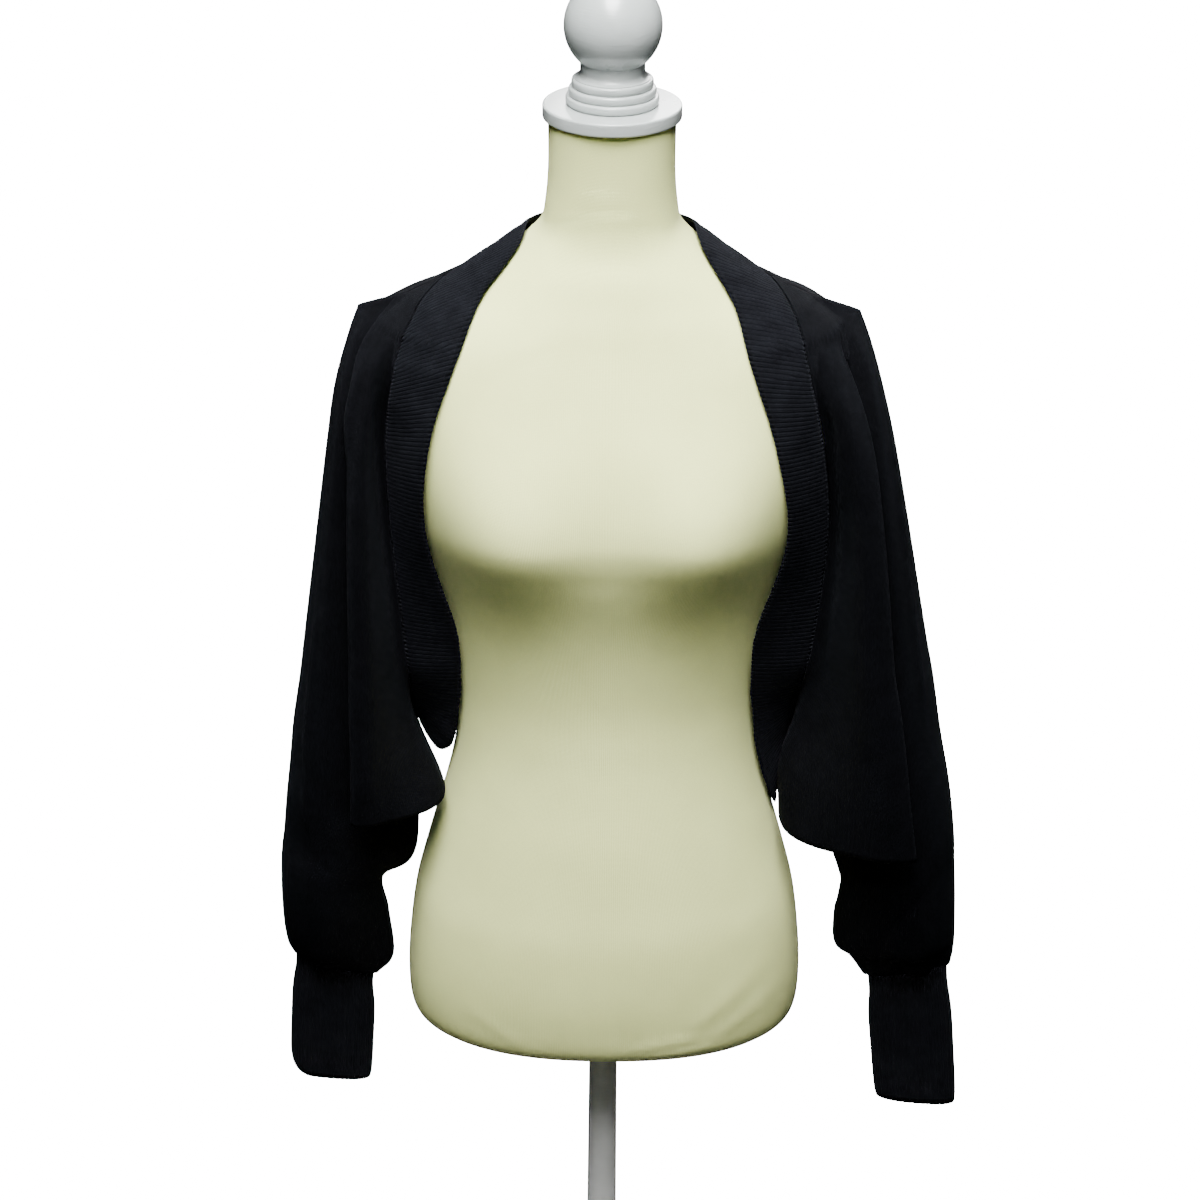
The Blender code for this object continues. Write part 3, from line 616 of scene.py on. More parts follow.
# Creases pressed by the way the cloth hangs. Each path is (station, column) points on the net.
Crease = namedtuple("Crease", "height width path")

CREASES = {
    LEFT: [
        Crease(2.2, 9, [(0.6, 4.6), (1.6, 5.0), (3.2, 5.1)]),
        Crease(-2.5, 8, [(0.8, 3.4), (1.7, 3.7), (2.6, 4.2)]),
        Crease(3.0, 8, [(1.6, 1.9), (2.5, 1.6), (3.4, 1.3), (4.2, 1.25)]),
        Crease(-3.5, 8, [(2.2, 1.1), (3.0, 0.8), (4.0, 0.7), (6.0, 0.9)]),
        Crease(1.8, 9, [(3.5, 2.5), (5.5, 2.5), (8.0, 2.4)]),
        Crease(2.4, 5, [(1.2, 5.4), (3.5, 5.5), (6.5, 5.45)]),
        Crease(2.0, 5, [(10.3, 4.8), (11.6, 5.2), (13.0, 5.0)]),
        Crease(-2.0, 4, [(10.0, 5.3), (11.2, 4.7), (12.6, 4.6)]),
        Crease(-4.0, 12, [(0.5, 8.3), (2.5, 8.6), (5.0, 8.5), (8.0, 8.4)]),
        Crease(3.0, 14, [(1.0, 7.6), (3.0, 7.8), (7.0, 7.6), (10.0, 7.5)]),
        Crease(-2.0, 16, [(0.8, 12.2), (2.5, 11.4), (5.0, 10.6)]),
        Crease(1.6, 14, [(2.5, 12.6), (5.0, 12.2), (8.0, 12.4)]),
        Crease(2.2, 12, [(3.0, 10.2), (6.0, 10.4), (8.5, 11.2)]),
    ],
    RIGHT: [
        Crease(2.4, 9, [(0.7, 4.8), (1.8, 5.0), (3.4, 5.1), (6.0, 5.15)]),
        Crease(3.2, 8, [(1.2, 2.2), (2.2, 2.8), (3.0, 3.2)]),
        Crease(-3.0, 8, [(1.6, 1.4), (2.6, 1.1), (4.0, 0.8), (6.0, 0.8)]),
        Crease(2.0, 10, [(3.0, 2.3), (5.0, 2.4), (8.4, 2.5)]),
        Crease(2.6, 5, [(3.5, 5.35), (6.0, 5.4), (9.0, 5.25), (11.4, 5.1)]),
        Crease(2.2, 4, [(10.6, 5.55), (12.0, 5.55), (13.8, 5.45)]),
        Crease(-2.2, 3, [(12.9, 5.5), (13.5, 5.1), (13.1, 4.7)]),
        Crease(-3.5, 12, [(0.6, 8.4), (2.6, 8.5), (5.0, 8.6), (8.2, 8.4)]),
        Crease(2.6, 14, [(1.2, 7.5), (3.2, 7.7), (6.6, 7.5), (9.6, 7.6)]),
        Crease(-1.8, 16, [(0.9, 12.0), (2.8, 11.2), (4.6, 10.7)]),
        Crease(1.4, 14, [(3.0, 12.5), (5.5, 12.0), (8.0, 12.2)]),
        Crease(2.4, 12, [(3.4, 10.4), (6.2, 10.2), (8.6, 11.0)]),
    ],
}

# Gathers where the sleeve is eased into its cuff, all round the tube.
GATHER_COLUMNS = (4.35, 4.75, 5.1, 5.4, 5.8, 6.3, 6.75, 7.2, 7.7, 8.1, 8.6)
GATHER_HEIGHTS = (1.5, -1.3, 1.8, -1.4, 1.2, -1.2, 1.6, -1.5, 1.3, -1.4, 1.2)
GATHER_STARTS = (12.6, 13.2, 12.8, 13.3, 13.0, 13.1, 12.7, 13.3, 12.9, 13.2, 12.8)
GATHER_WIDTH = 4.5
CREASE_STEPS = 24          # pieces between two points of a crease's path
LAST_STATION = len(FOLD_DEPTHS) - 1
LAST_ROW = LAST_STATION + len(SLEEVE_END[LEFT])


def between(start, end, share):
    return start + (end - start) * share


def station_columns(side, index):
    """Control points of one station, from the band's seam round the sleeve to the centre back."""
    station, hang, depth = BAND_FRONT[side][index], PANEL_HANG[side][index], FOLD_DEPTHS[index]
    swing = max(0.0, 1 - (LAST_STATION - index) / FLAP_STATIONS)
    hold = 0.2 + 0.5 * swing
    fold_drop = between(station.seam_drop, hang.outer_drop, 0.82)
    turn_x = hang.fold_x - hang.pleat
    reach = hang.outer_x - turn_x
    columns = [
        (station.seam_x + LAP_OVER_BAND * swing, station.seam_y, station.seam_drop),
        (
            between(station.seam_x, hang.fold_x, hang.trough),
            between(station.seam_y, depth.ridge, hold),
            between(station.seam_drop, fold_drop, hold),
        ),
        (
            between(station.seam_x, hang.fold_x, RIDGE_SHARE),
            depth.ridge,
            between(station.seam_drop, fold_drop, 0.62 + 0.28 * swing),
        ),
        (hang.fold_x, depth.fold, fold_drop),
        (turn_x, depth.turn, fold_drop + 3),
        (hang.outer_x - SLEEVE_FRONT_SHARE * reach, depth.sleeve, hang.outer_drop - 3),
        (hang.outer_x, (depth.sleeve + depth.back) * 0.15, hang.outer_drop),
        (hang.outer_x - SLEEVE_BACK_SHARE * reach, depth.back, hang.outer_drop),
        (hang.outer_x - CREASE_SHARE * reach, depth.crease, hang.outer_drop - 3),
    ]
    if index == 0:
        neck = [BAND_FRONT[side][0], BAND_NECK[2], BAND_NECK[1], BAND_NECK[0]]
        columns.append((depth.side_x, depth.side_y, depth.side_drop))
        columns += [(row.seam_x, row.seam_y, row.seam_drop) for row in neck]
        start, tip = columns[0], (hang.outer_x, 10, hang.outer_drop)
        for column in range(1, 10):
            share = (columns[column][0] - start[0]) / (tip[0] - start[0])
            columns[column] = tuple(between(start[axis], tip[axis], share) for axis in range(3))
    elif index == LAST_STATION:
        columns.append(columns[0])
        columns += [(row.seam_x, row.seam_y, row.seam_drop) for row in BAND_HEM[side]]
    else:
        side_share = depth.side_y / depth.centre_y
        spread = depth.side_x / (1 - side_share**BACK_SQUARENESS) ** (1 / BACK_SQUARENESS)
        columns.append((depth.side_x, depth.side_y, depth.side_drop))
        for share in BACK_SHARES:
            x = share * depth.side_x
            y = depth.centre_y * (1 - (x / spread) ** BACK_SQUARENESS) ** (1 / BACK_SQUARENESS)
            columns.append((x, y, between(depth.centre_drop, depth.side_drop, share**2)))
        columns.append((0.0, depth.centre_y, depth.centre_drop))
    return [(side * x, y, drop) for x, y, drop in columns]


def tube_columns(side, tube):
    """Control points of one ring of the lower sleeve, from its inner seam round to it again."""
    reach = tube.outer_x - tube.inner_x
    ring = [
        (tube.inner_x, tube.inner_y),
        (tube.outer_x - SLEEVE_FRONT_SHARE * reach, tube.front),
        (tube.outer_x, (tube.front + tube.back) / 2),
        (tube.outer_x - SLEEVE_BACK_SHARE * reach, tube.back),
        (tube.outer_x - CREASE_SHARE * reach, tube.back * 0.92),
    ]
    return [(side * x, y, tube.drop + tube.slant * (tube.outer_x - x) / reach) for x, y in ring]


def form_level(points):
    """Below 1 inside the form, 1 on its surface and above 1 outside it."""
    x, y, drop = points[:, 0], points[:, 1], points[:, 2]
    table = np.array([tuple(girth) for girth in FORM_GIRTHS], float)
    half_width, front, back = (np.interp(drop, table[:, 0], table[:, column]) for column in (1, 2, 3))
    shrink = np.maximum(0.0, 1 - np.abs(x / half_width) ** 6)
    y = np.where(y < 0, np.minimum(0.0, y + bust(x, drop) * shrink * np.abs(y) / front), y)
    depth = np.where(y < 0, front, back)
    return (np.abs(x / half_width) ** FORM_SQUARENESS + np.abs(y / depth) ** FORM_SQUARENESS) ** (
        1 / FORM_SQUARENESS
    )


def clear_of_form(net, clearance):
    """The same net with each point that lies nearer the form than the clearance moved out to it."""
    points = net.reshape(-1, 3).copy()
    reach = 0.5
    for _ in range(12):
        level = form_level(points)
        rise = [form_level(points + reach * axis) - form_level(points - reach * axis) for axis in np.eye(3)]
        slope = np.stack(rise, axis=-1) / (2 * reach)
        steepness = np.maximum(np.linalg.norm(slope, axis=1), 1e-6)
        short = np.clip(clearance - (level - 1) / steepness, 0.0, 6.0)
        points += slope / steepness[:, None] * short[:, None]
    return points.reshape(net.shape)


def outward(net):
    """Unit normals of a net of cloth, all on one side."""
    normal = np.cross(np.gradient(net, axis=0), np.gradient(net, axis=1))
    return normal / np.maximum(np.linalg.norm(normal, axis=-1, keepdims=True), 1e-9)


def lay_creases(net, facing, creases, first_column=0):
    """The net with its creases raised or sunk along its normals."""
    rows = np.arange(net.shape[0]) / DOWN
    columns = first_column + np.arange(net.shape[1]) / ACROSS
    normal = outward(net) * facing
    lift = np.zeros(net.shape[:2])
    for crease in creases:
        path = smooth(crease.path, CREASE_STEPS)
        if path[:, 0].max() < rows[0] or path[:, 0].min() > rows[-1]:
            continue
        if path[:, 1].max() < columns[0] - 0.5 or path[:, 1].min() > columns[-1] + 0.5:
            continue
        row = np.clip(path[:, 0] * DOWN, 0, net.shape[0] - 1.001)
        column = np.clip((path[:, 1] - first_column) * ACROSS, 0, net.shape[1] - 1.001)
        low, left = row.astype(int), column.astype(int)
        down, over = (row - low)[:, None], (column - left)[:, None]
        on_net = (net[low, left] * (1 - down) + net[low + 1, left] * down) * (1 - over)
        on_net += (net[low, left + 1] * (1 - down) + net[low + 1, left + 1] * down) * over
        away = np.linalg.norm(net[:, :, None] - on_net[None, None], axis=-1)
        nearest = away.argmin(axis=-1)
        fade = np.sin(math.pi * np.clip(nearest / (len(path) - 1), 0.02, 0.98)) ** 0.7
        window = np.exp(-(((columns[None] - path[nearest, 1]) / 1.3) ** 4))
        lift += crease.height * np.exp(-((away.min(axis=-1) / crease.width) ** 2)) * fade * window
    return net + normal * lift[..., None]


def gathers():
    """Creases that fan up from the cuff, uneven in length and height."""
    fan = []
    for column, height, start in zip(GATHER_COLUMNS, GATHER_HEIGHTS, GATHER_STARTS):
        path = [(row, column) for row in (start, (start + LAST_ROW) / 2, LAST_ROW + 0.5)]
        fan.append(Crease(height, GATHER_WIDTH, path))
    return fan


stations = {
    side: [station_columns(side, index) for index in range(len(FOLD_DEPTHS))] for side in (LEFT, RIGHT)
}
ribbons = [
    smooth(right + left[-2::-1], ACROSS) for left, right in zip(stations[LEFT], stations[RIGHT])
]
upper_net, sleeve_net, foot_net = {}, {}, {}
for side in (LEFT, RIGHT):
    order = slice(CENTRE * ACROSS, None) if side == LEFT else slice(0, CENTRE * ACROSS + 1)
    upper = np.array([ribbon[order][::-1] if side == LEFT else ribbon[order] for ribbon in ribbons])
    rings = [smooth(tube_columns(side, tube), ACROSS, closed=True) for tube in SLEEVE_END[side]]
    rings = np.array([np.concatenate([ring, ring[:1]]) for ring in rings])
    sleeve = np.concatenate([upper[:, TURN * ACROSS : SIDE * ACROSS + 1], rings])
    upper = smooth(upper, DOWN)
    sleeve = smooth(sleeve, DOWN)
    upper[:, TURN * ACROSS : SIDE * ACROSS + 1] = sleeve[: len(upper)]
    upper = clear_of_form(upper, CLOTH_CLEARANCE + JERSEY_WALL / 2)
    sleeve = clear_of_form(sleeve, CLOTH_CLEARANCE + JERSEY_WALL / 2)
    facing = 1.0 if outward(upper)[DOWN * 3 : DOWN * 6, ACROSS : ACROSS * 3, 1].mean() < 0 else -1.0
    upper = lay_creases(upper, facing, CREASES[side])
    sleeve = lay_creases(sleeve, facing, CREASES[side] + gathers(), first_column=TURN)
    sleeve[: len(upper)] = upper[:, TURN * ACROSS : SIDE * ACROSS + 1]
    upper_net[side], sleeve_net[side] = upper, sleeve

    # The panel's foot turns under, and runs back to the underarm seam.
    hem = LAST_STATION * DOWN
    seam_line = sleeve[hem : hem + DOWN + 1, -1]
    lengths = np.concatenate([[0.0], np.cumsum(np.linalg.norm(np.diff(seam_line, axis=0), axis=1))])
    panel = np.arange(TURN * ACROSS + 1) / (TURN * ACROSS)
    target = [np.interp(lengths[-1] * panel, lengths, seam_line[:, axis]) for axis in range(3)]
    target = np.stack(target, -1)
    start = upper[hem, : TURN * ACROSS + 1]
    share = (np.arange(DOWN + 1) / DOWN)[:, None]
    foot = start[None] + (target - start)[None] * share[..., None]
    foot[..., 2] += LIP_SAG * np.sin(math.pi * share) * np.sin(math.pi * panel)[None]
    foot[:, 0] = start[0]
    foot[:, -1] = sleeve[hem : hem + DOWN + 1, 0]
    foot_net[side] = clear_of_form(foot, CLOTH_CLEARANCE + JERSEY_WALL / 2)


def sewn_patches(name, patches, material, wall):
    """One cloth piece from nets that share their edges, thickened to a closed wall."""
    points, faces, uvs = [], [], []
    for net, across, down in patches:
        net_of_faces, corners = net_faces(*net.shape[:2])
        faces += [[len(points) + corner for corner in face] for face in net_of_faces]
        uvs.append(np.stack([across[corners[:, 1]], down[corners[:, 0]]], axis=-1))
        points += list(metres(net).reshape(-1, 3))
    thing = finish_mesh(name, points, faces, material, np.concatenate(uvs), sharp=180.0)
    shell = thing.modifiers.new("wall", "SOLIDIFY")
    shell.thickness = wall * MM
    shell.offset = 0.0
    graph = bpy.context.evaluated_depsgraph_get()
    walled = bpy.data.meshes.new_from_object(thing.evaluated_get(graph))
    thing.modifiers.remove(shell)
    thing.data = walled
    walled.shade_smooth()
    return thing


# How far each column and row of the nets is from the seam and from the shoulder, in metres.
ways = {}
for side in (LEFT, RIGHT):
    down_way = arc_lengths(sleeve_net[side], 0) * MM
    across_way = np.concatenate(
        [[0.0], np.cumsum(np.linalg.norm(np.diff(upper_net[side][5 * DOWN], axis=0), axis=1))]
    ) * MM
    ways[side] = across_way, down_way

black_jersey = knit_finish(
    "black_jersey",
    dark=(0.0009, 0.0010, 0.0015),
    light=(0.0022, 0.0024, 0.0034),
    sheen=0.010,
    sheen_tint=(0.75, 0.82, 1.0),
    gloss=0.03,
    roughness=0.78,
    wale=0.0011,
    course=0.0009,
    depth=0.00022,
    mottle_size=60.0,
)

back_patches = []
for side in (LEFT, RIGHT):
    across_way, down_way = ways[side]
    upper, sleeve = upper_net[side], sleeve_net[side]
    back_patches.append((upper[:, OUTER * ACROSS :], across_way[OUTER * ACROSS :], down_way))
    lower = sleeve[LAST_STATION * DOWN :, (OUTER - TURN) * ACROSS :]
    back_patches.append((lower, across_way[OUTER * ACROSS :], down_way[LAST_STATION * DOWN :]))
back = sewn_patches("shrug_back", back_patches, black_jersey, JERSEY_WALL)
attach(back, "root")
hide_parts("back")


# --------------------------------------------------------------------------------------------------
# Shrug fronts: the same jersey, one narrow panel on each side of the opening, cut in one with the
# front of its sleeve. The panel hangs in a deep fold that laps over the sleeve, and its foot turns
# under and is sewn back to the underarm.

for side, name in ((LEFT, "left"), (RIGHT, "right")):
    across_way, down_way = ways[side]
    upper, sleeve, foot = upper_net[side], sleeve_net[side], foot_net[side]
    lower_rows = slice(LAST_STATION * DOWN, None)
    patches = [
        (upper[:, : OUTER * ACROSS + 1], across_way, down_way),
        (
            sleeve[lower_rows, : (OUTER - TURN) * ACROSS + 1],
            across_way[TURN * ACROSS :],
            down_way[lower_rows],
        ),
        (foot, across_way, down_way[lower_rows]),
    ]
    front = sewn_patches("shrug_front_" + name, patches, black_jersey, JERSEY_WALL)
    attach(front, "root")
    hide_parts("front_" + name)


# --------------------------------------------------------------------------------------------------
# Rib band: one strip of doubled rib, linked on all round the opening, from the back neck down both
# fronts and round the waist. Its ribs run across it, and its free edge is the knitted fold.

RIB_WALL = 2.6
RIB_PITCH = 0.0035
RIB_HEIGHT = 0.00042
POINTS_PER_RIB = 6
BAND_STATION_STEPS = 60    # points between two stations, before they are spaced by ribs
BAND_ACROSS = 9            # quads across each face of the band
BAND_BOW = 1.5
BAND_CLEARANCE = 2.4
BAND_UNROLLED = 0.11       # over the band and back under it, in metres

band_loop = [(LEFT, row) for row in BAND_NECK + BAND_FRONT[LEFT] + BAND_HEM[LEFT]]
band_loop += [(RIGHT, row) for row in BAND_HEM[RIGHT][-2::-1] + BAND_FRONT[RIGHT][::-1] + BAND_NECK[:0:-1]]
band_edge = [(side * row.edge_x, row.edge_y, row.edge_drop) for side, row in band_loop]
band_seam = [(side * row.seam_x, row.seam_y, row.seam_drop) for side, row in band_loop]
band_edge = smooth(band_edge, BAND_STATION_STEPS, closed=True)
band_seam = smooth(band_seam, BAND_STATION_STEPS, closed=True)
band_middle = (band_edge + band_seam) / 2
band_way = np.linalg.norm(np.roll(band_middle, -1, 0) - band_middle, axis=1)
band_way = np.concatenate([[0.0], np.cumsum(band_way)])
rib_count = round(band_way[-1] * MM / RIB_PITCH)
spaced = np.linspace(0, band_way[-1], rib_count * POINTS_PER_RIB, endpoint=False)


def spaced_along(loop):
    """The closed line's points again, one for each share of a rib."""
    loop = np.concatenate([loop, loop[:1]])
    return np.stack([np.interp(spaced, band_way, loop[:, axis]) for axis in range(3)], -1)


def rounded_wall(middle, half_wall):
    """A closed net round a strip: over its outer face and back under it, with full round edges.

    middle is a net of strip rows, each from one edge to the other, closed along its rows.
    """
    around = np.gradient(middle, axis=1)
    onward = (np.roll(middle, -1, 0) - np.roll(middle, 1, 0)) / 2
    normal = np.cross(onward, around)
    normal /= np.linalg.norm(normal, axis=-1, keepdims=True)
    share = np.linspace(-1, 1, middle.shape[1])
    half = half_wall * (1 - np.abs(share) ** 5) ** 0.5
    over = middle + normal * half[None, :, None]
    under = middle - normal * half[None, :, None]
    return np.concatenate([over, under[:, -2:0:-1]], axis=1), normal


strip_shares = (1 - np.cos(math.pi * np.arange(BAND_ACROSS + 1) / BAND_ACROSS)) / 2 * 0.35
strip_shares += 0.65 * np.arange(BAND_ACROSS + 1) / BAND_ACROSS
edge_line, seam_line = spaced_along(band_edge), spaced_along(band_seam)
strip = edge_line[:, None] + (seam_line - edge_line)[:, None] * strip_shares[None, :, None]
strip = clear_of_form(strip, BAND_CLEARANCE + RIB_WALL / 2)
band_net, band_normal = rounded_wall(strip, RIB_WALL / 2 - RIB_HEIGHT / MM / 2)
if band_normal[len(strip) // 8, BAND_ACROSS // 2, 1] > 0:
    band_normal = -band_normal
bow = BAND_BOW * 4 * strip_shares * (1 - strip_shares)
bow = np.concatenate([bow, bow[-2:0:-1]])
bow_way = np.concatenate([band_normal, band_normal[:, -2:0:-1]], axis=1)
band_net = band_net + bow_way * bow[None, :, None]


def maker_tree(name, sockets):
    """A node tree with these named inputs after its geometry, their identifiers, and its two ends."""
    tree = bpy.data.node_groups.new(name, "GeometryNodeTree")
    tree.interface.new_socket(name="Geometry", in_out="INPUT", socket_type="NodeSocketGeometry")
    identifiers = {}
    for label, value in {**sockets, "Yarn": None}.items():
        kind = "NodeSocketMaterial" if value is None else "NodeSocketFloat"
        socket = tree.interface.new_socket(name=label, in_out="INPUT", socket_type=kind)
        if value is not None:
            socket.default_value = value
        identifiers[label] = socket.identifier
    tree.interface.new_socket(name="Geometry", in_out="OUTPUT", socket_type="NodeSocketGeometry")
    return tree, identifiers, tree.nodes.new("NodeGroupInput"), tree.nodes.new("NodeGroupOutput")


def close_tree(tree, geometry, inside, outside):
    """Ends a maker tree: real geometry, in the yarn's own finish."""
    real = add_node(tree, "GeometryNodeRealizeInstances", Geometry=geometry)
    dye = add_node(tree, "GeometryNodeSetMaterial", Geometry=real.outputs[0])
    tree.links.new(inside.outputs["Yarn"], dye.inputs["Material"])
    tree.links.new(dye.outputs[0], outside.inputs[0])


def rib_relief_tree():
    """Raises the ribs of knitted rib: each point stands out by its place across its rib."""
    tree, identifiers, inside, outside = maker_tree("rib_relief", {"Rib height": RIB_HEIGHT})
    ribs = add_node(tree, "GeometryNodeInputNamedAttribute", data_type="FLOAT", Name="ribs")
    turn = maths(tree, "MULTIPLY", ribs.outputs["Attribute"], math.pi)
    crown = maths(tree, "POWER", maths(tree, "ABSOLUTE", maths(tree, "SINE", turn)), 0.8)
    lift = maths(tree, "MULTIPLY", maths(tree, "SUBTRACT", crown, 0.5), inside.outputs["Rib height"])
    normal = tree.nodes.new("GeometryNodeInputNormal")
    stand = add_node(tree, "ShaderNodeVectorMath", operation="SCALE")
    tree.links.new(normal.outputs[0], stand.inputs[0])
    tree.links.new(lift, stand.inputs["Scale"])
    raise_ribs = add_node(tree, "GeometryNodeSetPosition", Offset=stand.outputs[0])
    tree.links.new(inside.outputs["Geometry"], raise_ribs.inputs["Geometry"])
    close_tree(tree, raise_ribs.outputs[0], inside, outside)
    return tree, identifiers


rib_tree, rib_inputs = rib_relief_tree()


def baked(thing, tree, settings):
    """The object as a plain mesh, after one pass of a node tree with these inputs."""
    maker = thing.modifiers.new("maker", "NODES")
    maker.node_group = tree
    for identifier, value in settings.items():
        maker[identifier] = value
    graph = bpy.context.evaluated_depsgraph_get()
    mesh = bpy.data.meshes.new_from_object(thing.evaluated_get(graph))
    thing.modifiers.remove(maker)
    thing.data = mesh
    mesh.shade_smooth()
    return thing


def ribbed(name, net, ribs_at, uv_across, uv_down, material, height):
    """A rib-knit ring: its closed net, the rib number at each point, then the ribs themselves."""
    faces, corners = net_faces(*net.shape[:2], closed_rows=True, closed_columns=True)
    mesh = bpy.data.meshes.new(name)
    mesh.from_pydata([tuple(point) for point in metres(net).reshape(-1, 3)], [], faces)
    layer = mesh.uv_layers.new(name="UVMap")
    uvs = np.stack([uv_across[corners[:, 0]], uv_down[corners[:, 1]]], axis=-1)
    layer.uv.foreach_set("vector", uvs.astype(np.float32).ravel())
    number = mesh.attributes.new("ribs", "FLOAT", "POINT")
    number.data.foreach_set("value", np.asarray(ribs_at, np.float32).ravel())
    work = bmesh.new()
    work.from_mesh(mesh)
    bmesh.ops.recalc_face_normals(work, faces=work.faces)
    work.to_mesh(mesh)
    work.free()
    mesh.materials.append(material)
    mesh.shade_smooth()
    thing = bpy.data.objects.new(name, mesh)
    bpy.context.scene.collection.objects.link(thing)
    return baked(thing, rib_tree, {rib_inputs["Rib height"]: height, rib_inputs["Yarn"]: material})


black_rib = knit_finish(
    "black_rib",
    dark=(0.0024, 0.0026, 0.0036),
    light=(0.0056, 0.0061, 0.0080),
    sheen=0.018,
    sheen_tint=(0.75, 0.82, 1.0),
    gloss=0.03,
    roughness=0.80,
    wale=RIB_PITCH / 2,
    course=0.0010,
    depth=0.00018,
    mottle_size=70.0,
)
rib_numbers = np.repeat(np.arange(len(strip))[:, None] / POINTS_PER_RIB, band_net.shape[1], axis=1)
band_along = np.arange(len(strip) + 1) / POINTS_PER_RIB * RIB_PITCH
band_round = np.linspace(0, BAND_UNROLLED, band_net.shape[1] + 1)
band = ribbed("rib_band_knit", band_net, rib_numbers, band_along, band_round, black_rib, RIB_HEIGHT)
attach(band, "root")
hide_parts("rib_band")


# --------------------------------------------------------------------------------------------------
# Cuffs: long narrow tubes of the same rib, knitted finer, with the sleeve gathered into the top.
# Each hangs flat and empty, and its end is left as it was knitted.

Cuff = namedtuple(
    "Cuff", "top_centre bottom_centre half_width half_depth top_drop top_slant bottom_drop corner slant"
)

CUFFS = {
    LEFT: Cuff(242, 255.5, 33.7, 12.5, 705.6, 12, 840, 2.0, -3.0),
    RIGHT: Cuff(214.5, 221, 33, 12.5, 698.6, 22, 820, 17.0, 3.0),
}
CUFF_SQUARENESS = 2.6
CUFF_RIBS = {LEFT: 62, RIGHT: 58}
CUFF_LEVELS = 22
CUFF_RIB_HEIGHT = 0.00035
CUFF_RIB_PITCH = 0.0026
CUFF_UNROLLED = 0.25       # down the outside of a cuff and up its inside, in metres
CUFF_NIP = 2.4             # how much narrower the cuff is just under its seam

for side, name in ((LEFT, "left"), (RIGHT, "right")):
    cuff = CUFFS[side]
    steps = CUFF_RIBS[side] * POINTS_PER_RIB
    turns = 2 * math.pi * np.arange(steps) / steps
    power = 2.0 / CUFF_SQUARENESS
    along = np.sign(np.cos(turns)) * np.abs(np.cos(turns)) ** power
    towards = np.sign(np.sin(turns)) * np.abs(np.sin(turns)) ** power
    shares = np.linspace(0, 1, CUFF_LEVELS + 1)
    rings = []
    for share in shares:
        centre = between(cuff.top_centre, cuff.bottom_centre, share)
        nip = CUFF_NIP * math.exp(-(((share - 0.12) / 0.16) ** 2))
        # The far corner of the end is rounded off, and the end slants a little.
        rim = np.clip((along - 1) * cuff.half_width / cuff.corner + 1, 0, 1)
        end = cuff.bottom_drop - cuff.corner * (1 - np.sqrt(1 - rim**2)) - cuff.slant * along
        ring_x = side * (centre + (cuff.half_width - RIB_WALL / 2 - nip) * along)
        ring_y = (cuff.half_depth - RIB_WALL / 2) * towards * (1 + 0.12 * math.sin(5.0 * share + 1.0))
        top = cuff.top_drop + cuff.top_slant * (1 - along) / 2
        rings.append(np.stack([ring_x, ring_y, between(top, end, share)], -1))
    strip = np.array(rings).transpose(1, 0, 2)
    cuff_net, _ = rounded_wall(strip, RIB_WALL / 2 - CUFF_RIB_HEIGHT / MM / 2)
    rib_numbers = np.repeat(np.arange(steps)[:, None] / POINTS_PER_RIB, cuff_net.shape[1], axis=1)
    around_way = np.arange(steps + 1) / POINTS_PER_RIB * CUFF_RIB_PITCH
    down_way = np.linspace(0, CUFF_UNROLLED, cuff_net.shape[1] + 1)
    thing = ribbed(
        "cuff_knit_" + name, cuff_net, rib_numbers, around_way, down_way, black_rib, CUFF_RIB_HEIGHT
    )
    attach(thing, "root")
    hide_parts("cuff_" + name)


# --------------------------------------------------------------------------------------------------
# Linking seam: the band is joined to the jersey loop by loop, which leaves a fine chain of yarn
# standing along the seam, all round the opening.

STITCH_SPACING = 0.00235
STITCH_LENGTH = 0.0024
STITCH_WIDTH = 0.0011


def chain_stitch_tree():
    """One small round stitch after another, along a line of yarn."""
    sizes = {
        "Stitch spacing": STITCH_SPACING,
        "Stitch length": STITCH_LENGTH,
        "Stitch width": STITCH_WIDTH,
    }
    tree, identifiers, inside, outside = maker_tree("chain_stitches", sizes)
    line = add_node(tree, "GeometryNodeMeshToCurve", Mesh=inside.outputs["Geometry"])
    marks = add_node(tree, "GeometryNodeResampleCurve", mode="LENGTH", Curve=line.outputs[0])
    tree.links.new(inside.outputs["Stitch spacing"], marks.inputs["Length"])
    stitch = add_node(tree, "GeometryNodeMeshUVSphere", Segments=7, Rings=5, Radius=0.5)
    tangent = tree.nodes.new("GeometryNodeInputTangent")
    turn = add_node(tree, "FunctionNodeAlignRotationToVector", axis="X", Vector=tangent.outputs[0])
    size = tree.nodes.new("ShaderNodeCombineXYZ")
    tree.links.new(inside.outputs["Stitch length"], size.inputs[0])
    tree.links.new(inside.outputs["Stitch width"], size.inputs[1])
    tree.links.new(inside.outputs["Stitch width"], size.inputs[2])
    row = add_node(tree, "GeometryNodeInstanceOnPoints", Points=marks.outputs[0])
    tree.links.new(stitch.outputs[0], row.inputs["Instance"])
    tree.links.new(turn.outputs[0], row.inputs["Rotation"])
    tree.links.new(size.outputs[0], row.inputs["Scale"])
    close_tree(tree, row.outputs[0], inside, outside)
    return tree, identifiers


stitch_tree, stitch_inputs = chain_stitch_tree()


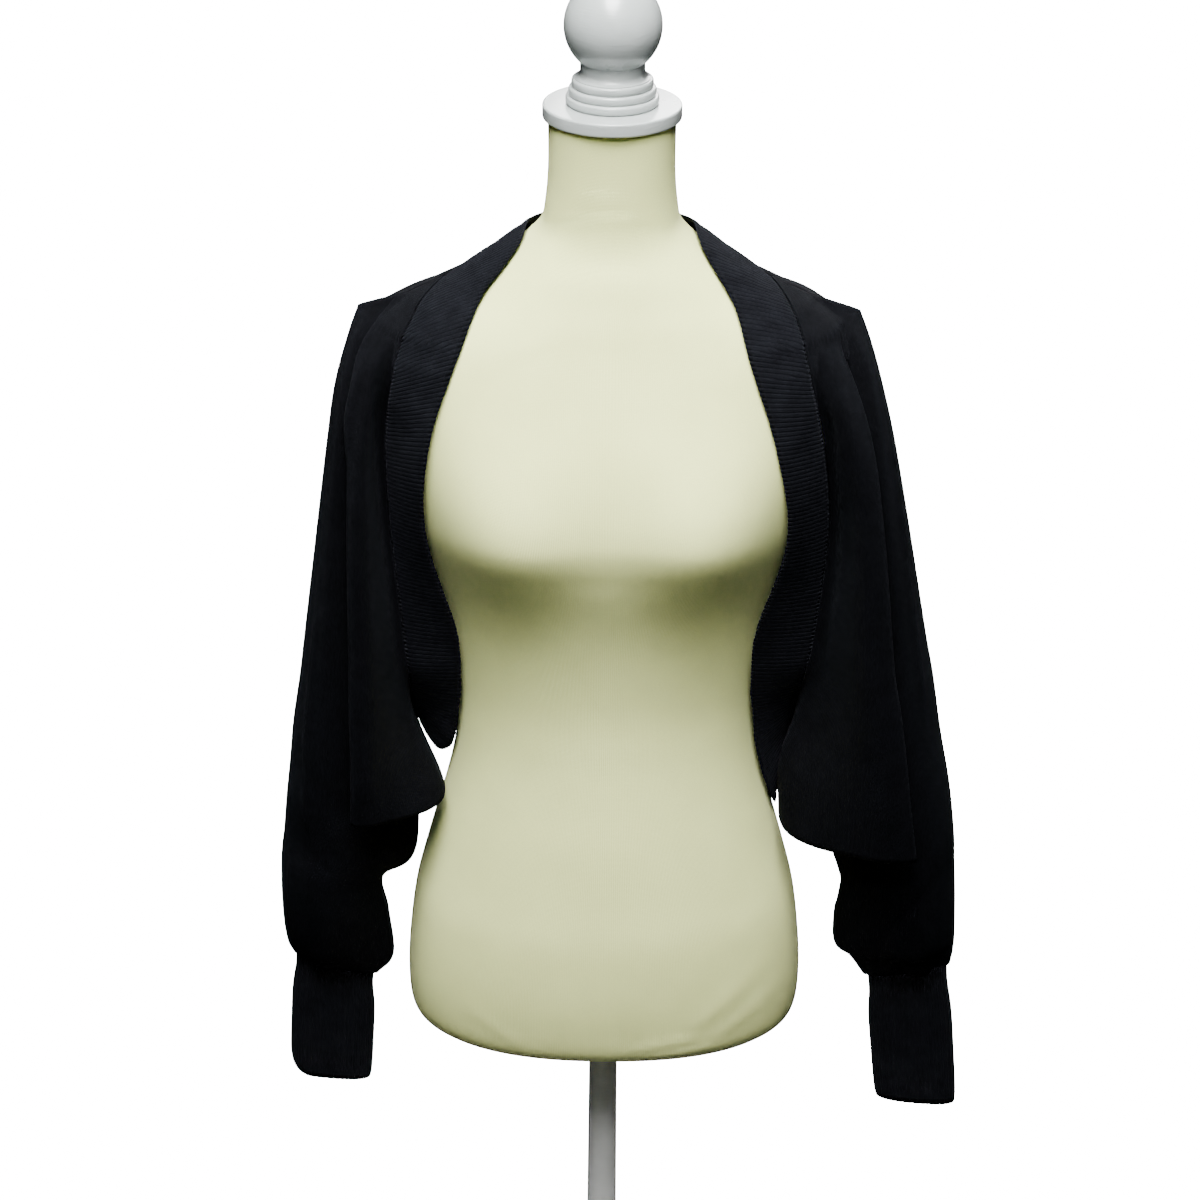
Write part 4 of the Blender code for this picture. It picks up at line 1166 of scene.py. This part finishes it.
def stitched_line(name, line, material):
    """A row of chain stitches along a closed line, as one plain mesh."""
    mesh = bpy.data.meshes.new(name)
    edges = [(step, (step + 1) % len(line)) for step in range(len(line))]
    mesh.from_pydata([tuple(point) for point in metres(line)], edges, [])
    thing = bpy.data.objects.new(name, mesh)
    bpy.context.scene.collection.objects.link(thing)
    settings = {
        stitch_inputs["Stitch spacing"]: STITCH_SPACING,
        stitch_inputs["Stitch length"]: STITCH_LENGTH,
        stitch_inputs["Stitch width"]: STITCH_WIDTH,
        stitch_inputs["Yarn"]: material,
    }
    return baked(thing, stitch_tree, settings)


linked_edge = band_net[:, BAND_ACROSS][::3]
linked = stitched_line("band_linking", linked_edge, black_rib)
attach(linked, "root")


# --------------------------------------------------------------------------------------------------
# Room: a plain white floor that glows, a soft light overhead, a weak gridded one in front and one
# behind, seen from a little above.

FLOOR_HALF = 30.0
FLOOR_GLOW = 20.0
SKY_BELOW, SKY_ABOVE = 0.12, 0.24      # strength of the room's own light, below and above the floor
CAMERA_AT = (-0.0056, -2.0, 1.744)
CAMERA_PITCH = 62.7
CAMERA_ROLL = 0.49
CAMERA_LENS = 90.15

floor_finish, _, floor_shader = new_finish("pale_floor")
floor_shader.inputs["Base Color"].default_value = (0.90, 0.90, 0.90, 1.0)
floor_shader.inputs["Roughness"].default_value = 0.9
floor_shader.inputs["Emission Color"].default_value = (1.0, 1.0, 1.0, 1.0)
floor_shader.inputs["Emission Strength"].default_value = FLOOR_GLOW
floor_mesh = bpy.data.meshes.new("floor")
floor_corners = [(x * FLOOR_HALF, y * FLOOR_HALF, 0) for x, y in ((-1, -1), (1, -1), (1, 1), (-1, 1))]
floor_mesh.from_pydata(floor_corners, [], [(0, 1, 2, 3)])
floor_mesh.materials.append(floor_finish)
floor = bpy.data.objects.new("floor", floor_mesh)
bpy.context.scene.collection.objects.link(floor)
# The bright floor throws no light back up, so the undersides keep their shade.
floor.visible_diffuse = False
floor.visible_glossy = False

world = bpy.data.worlds.new("soft_room")
world.use_nodes = True
sky = world.node_tree.nodes["Background"]
way_up = add_node(world.node_tree, "ShaderNodeTexCoord").outputs["Generated"]
height = add_node(world.node_tree, "ShaderNodeSeparateXYZ", Vector=way_up).outputs["Z"]
above = ranged(world.node_tree, height, -0.25, 0.10, SKY_BELOW, SKY_ABOVE)
world.node_tree.links.new(above, sky.inputs["Strength"])
bpy.context.scene.world = world


def softbox(name, at, aim, size, power, spread=180.0):
    """A square soft light turned towards its aim, its beam held in by a grid to the spread."""
    light = bpy.data.lights.new(name, "AREA")
    light.size = size
    light.energy = power
    light.spread = math.radians(spread)
    thing = bpy.data.objects.new(name, light)
    way = np.array(aim, float) - np.array(at, float)
    thing.location = at
    flat = math.hypot(way[0], way[1])
    thing.rotation_euler = (math.atan2(flat, -way[2]), 0.0, math.atan2(-way[0], way[1]))
    bpy.context.scene.collection.objects.link(thing)


softbox("overhead", (-0.06, -0.70, 3.0), (0.0, 0.0, 0.95), 1.0, 230.0)
softbox("key", (-0.05, -1.30, 2.35), (0.0, -0.08, 0.82), 0.55, 2.0, spread=34.0)
softbox("behind", (0.5, 2.6, 2.3), (0.0, 0.0, 0.8), 1.4, 90.0)

lens = bpy.data.cameras.new("camera")
lens.lens = CAMERA_LENS
lens.sensor_width = 36.0
camera = bpy.data.objects.new("camera", lens)
tilt = Matrix.Rotation(math.radians(CAMERA_PITCH), 4, "X")
tilt = tilt @ Matrix.Rotation(math.radians(CAMERA_ROLL), 4, "Z")
camera.matrix_world = Matrix.Translation(CAMERA_AT) @ tilt
bpy.context.scene.collection.objects.link(camera)
bpy.context.scene.camera = camera
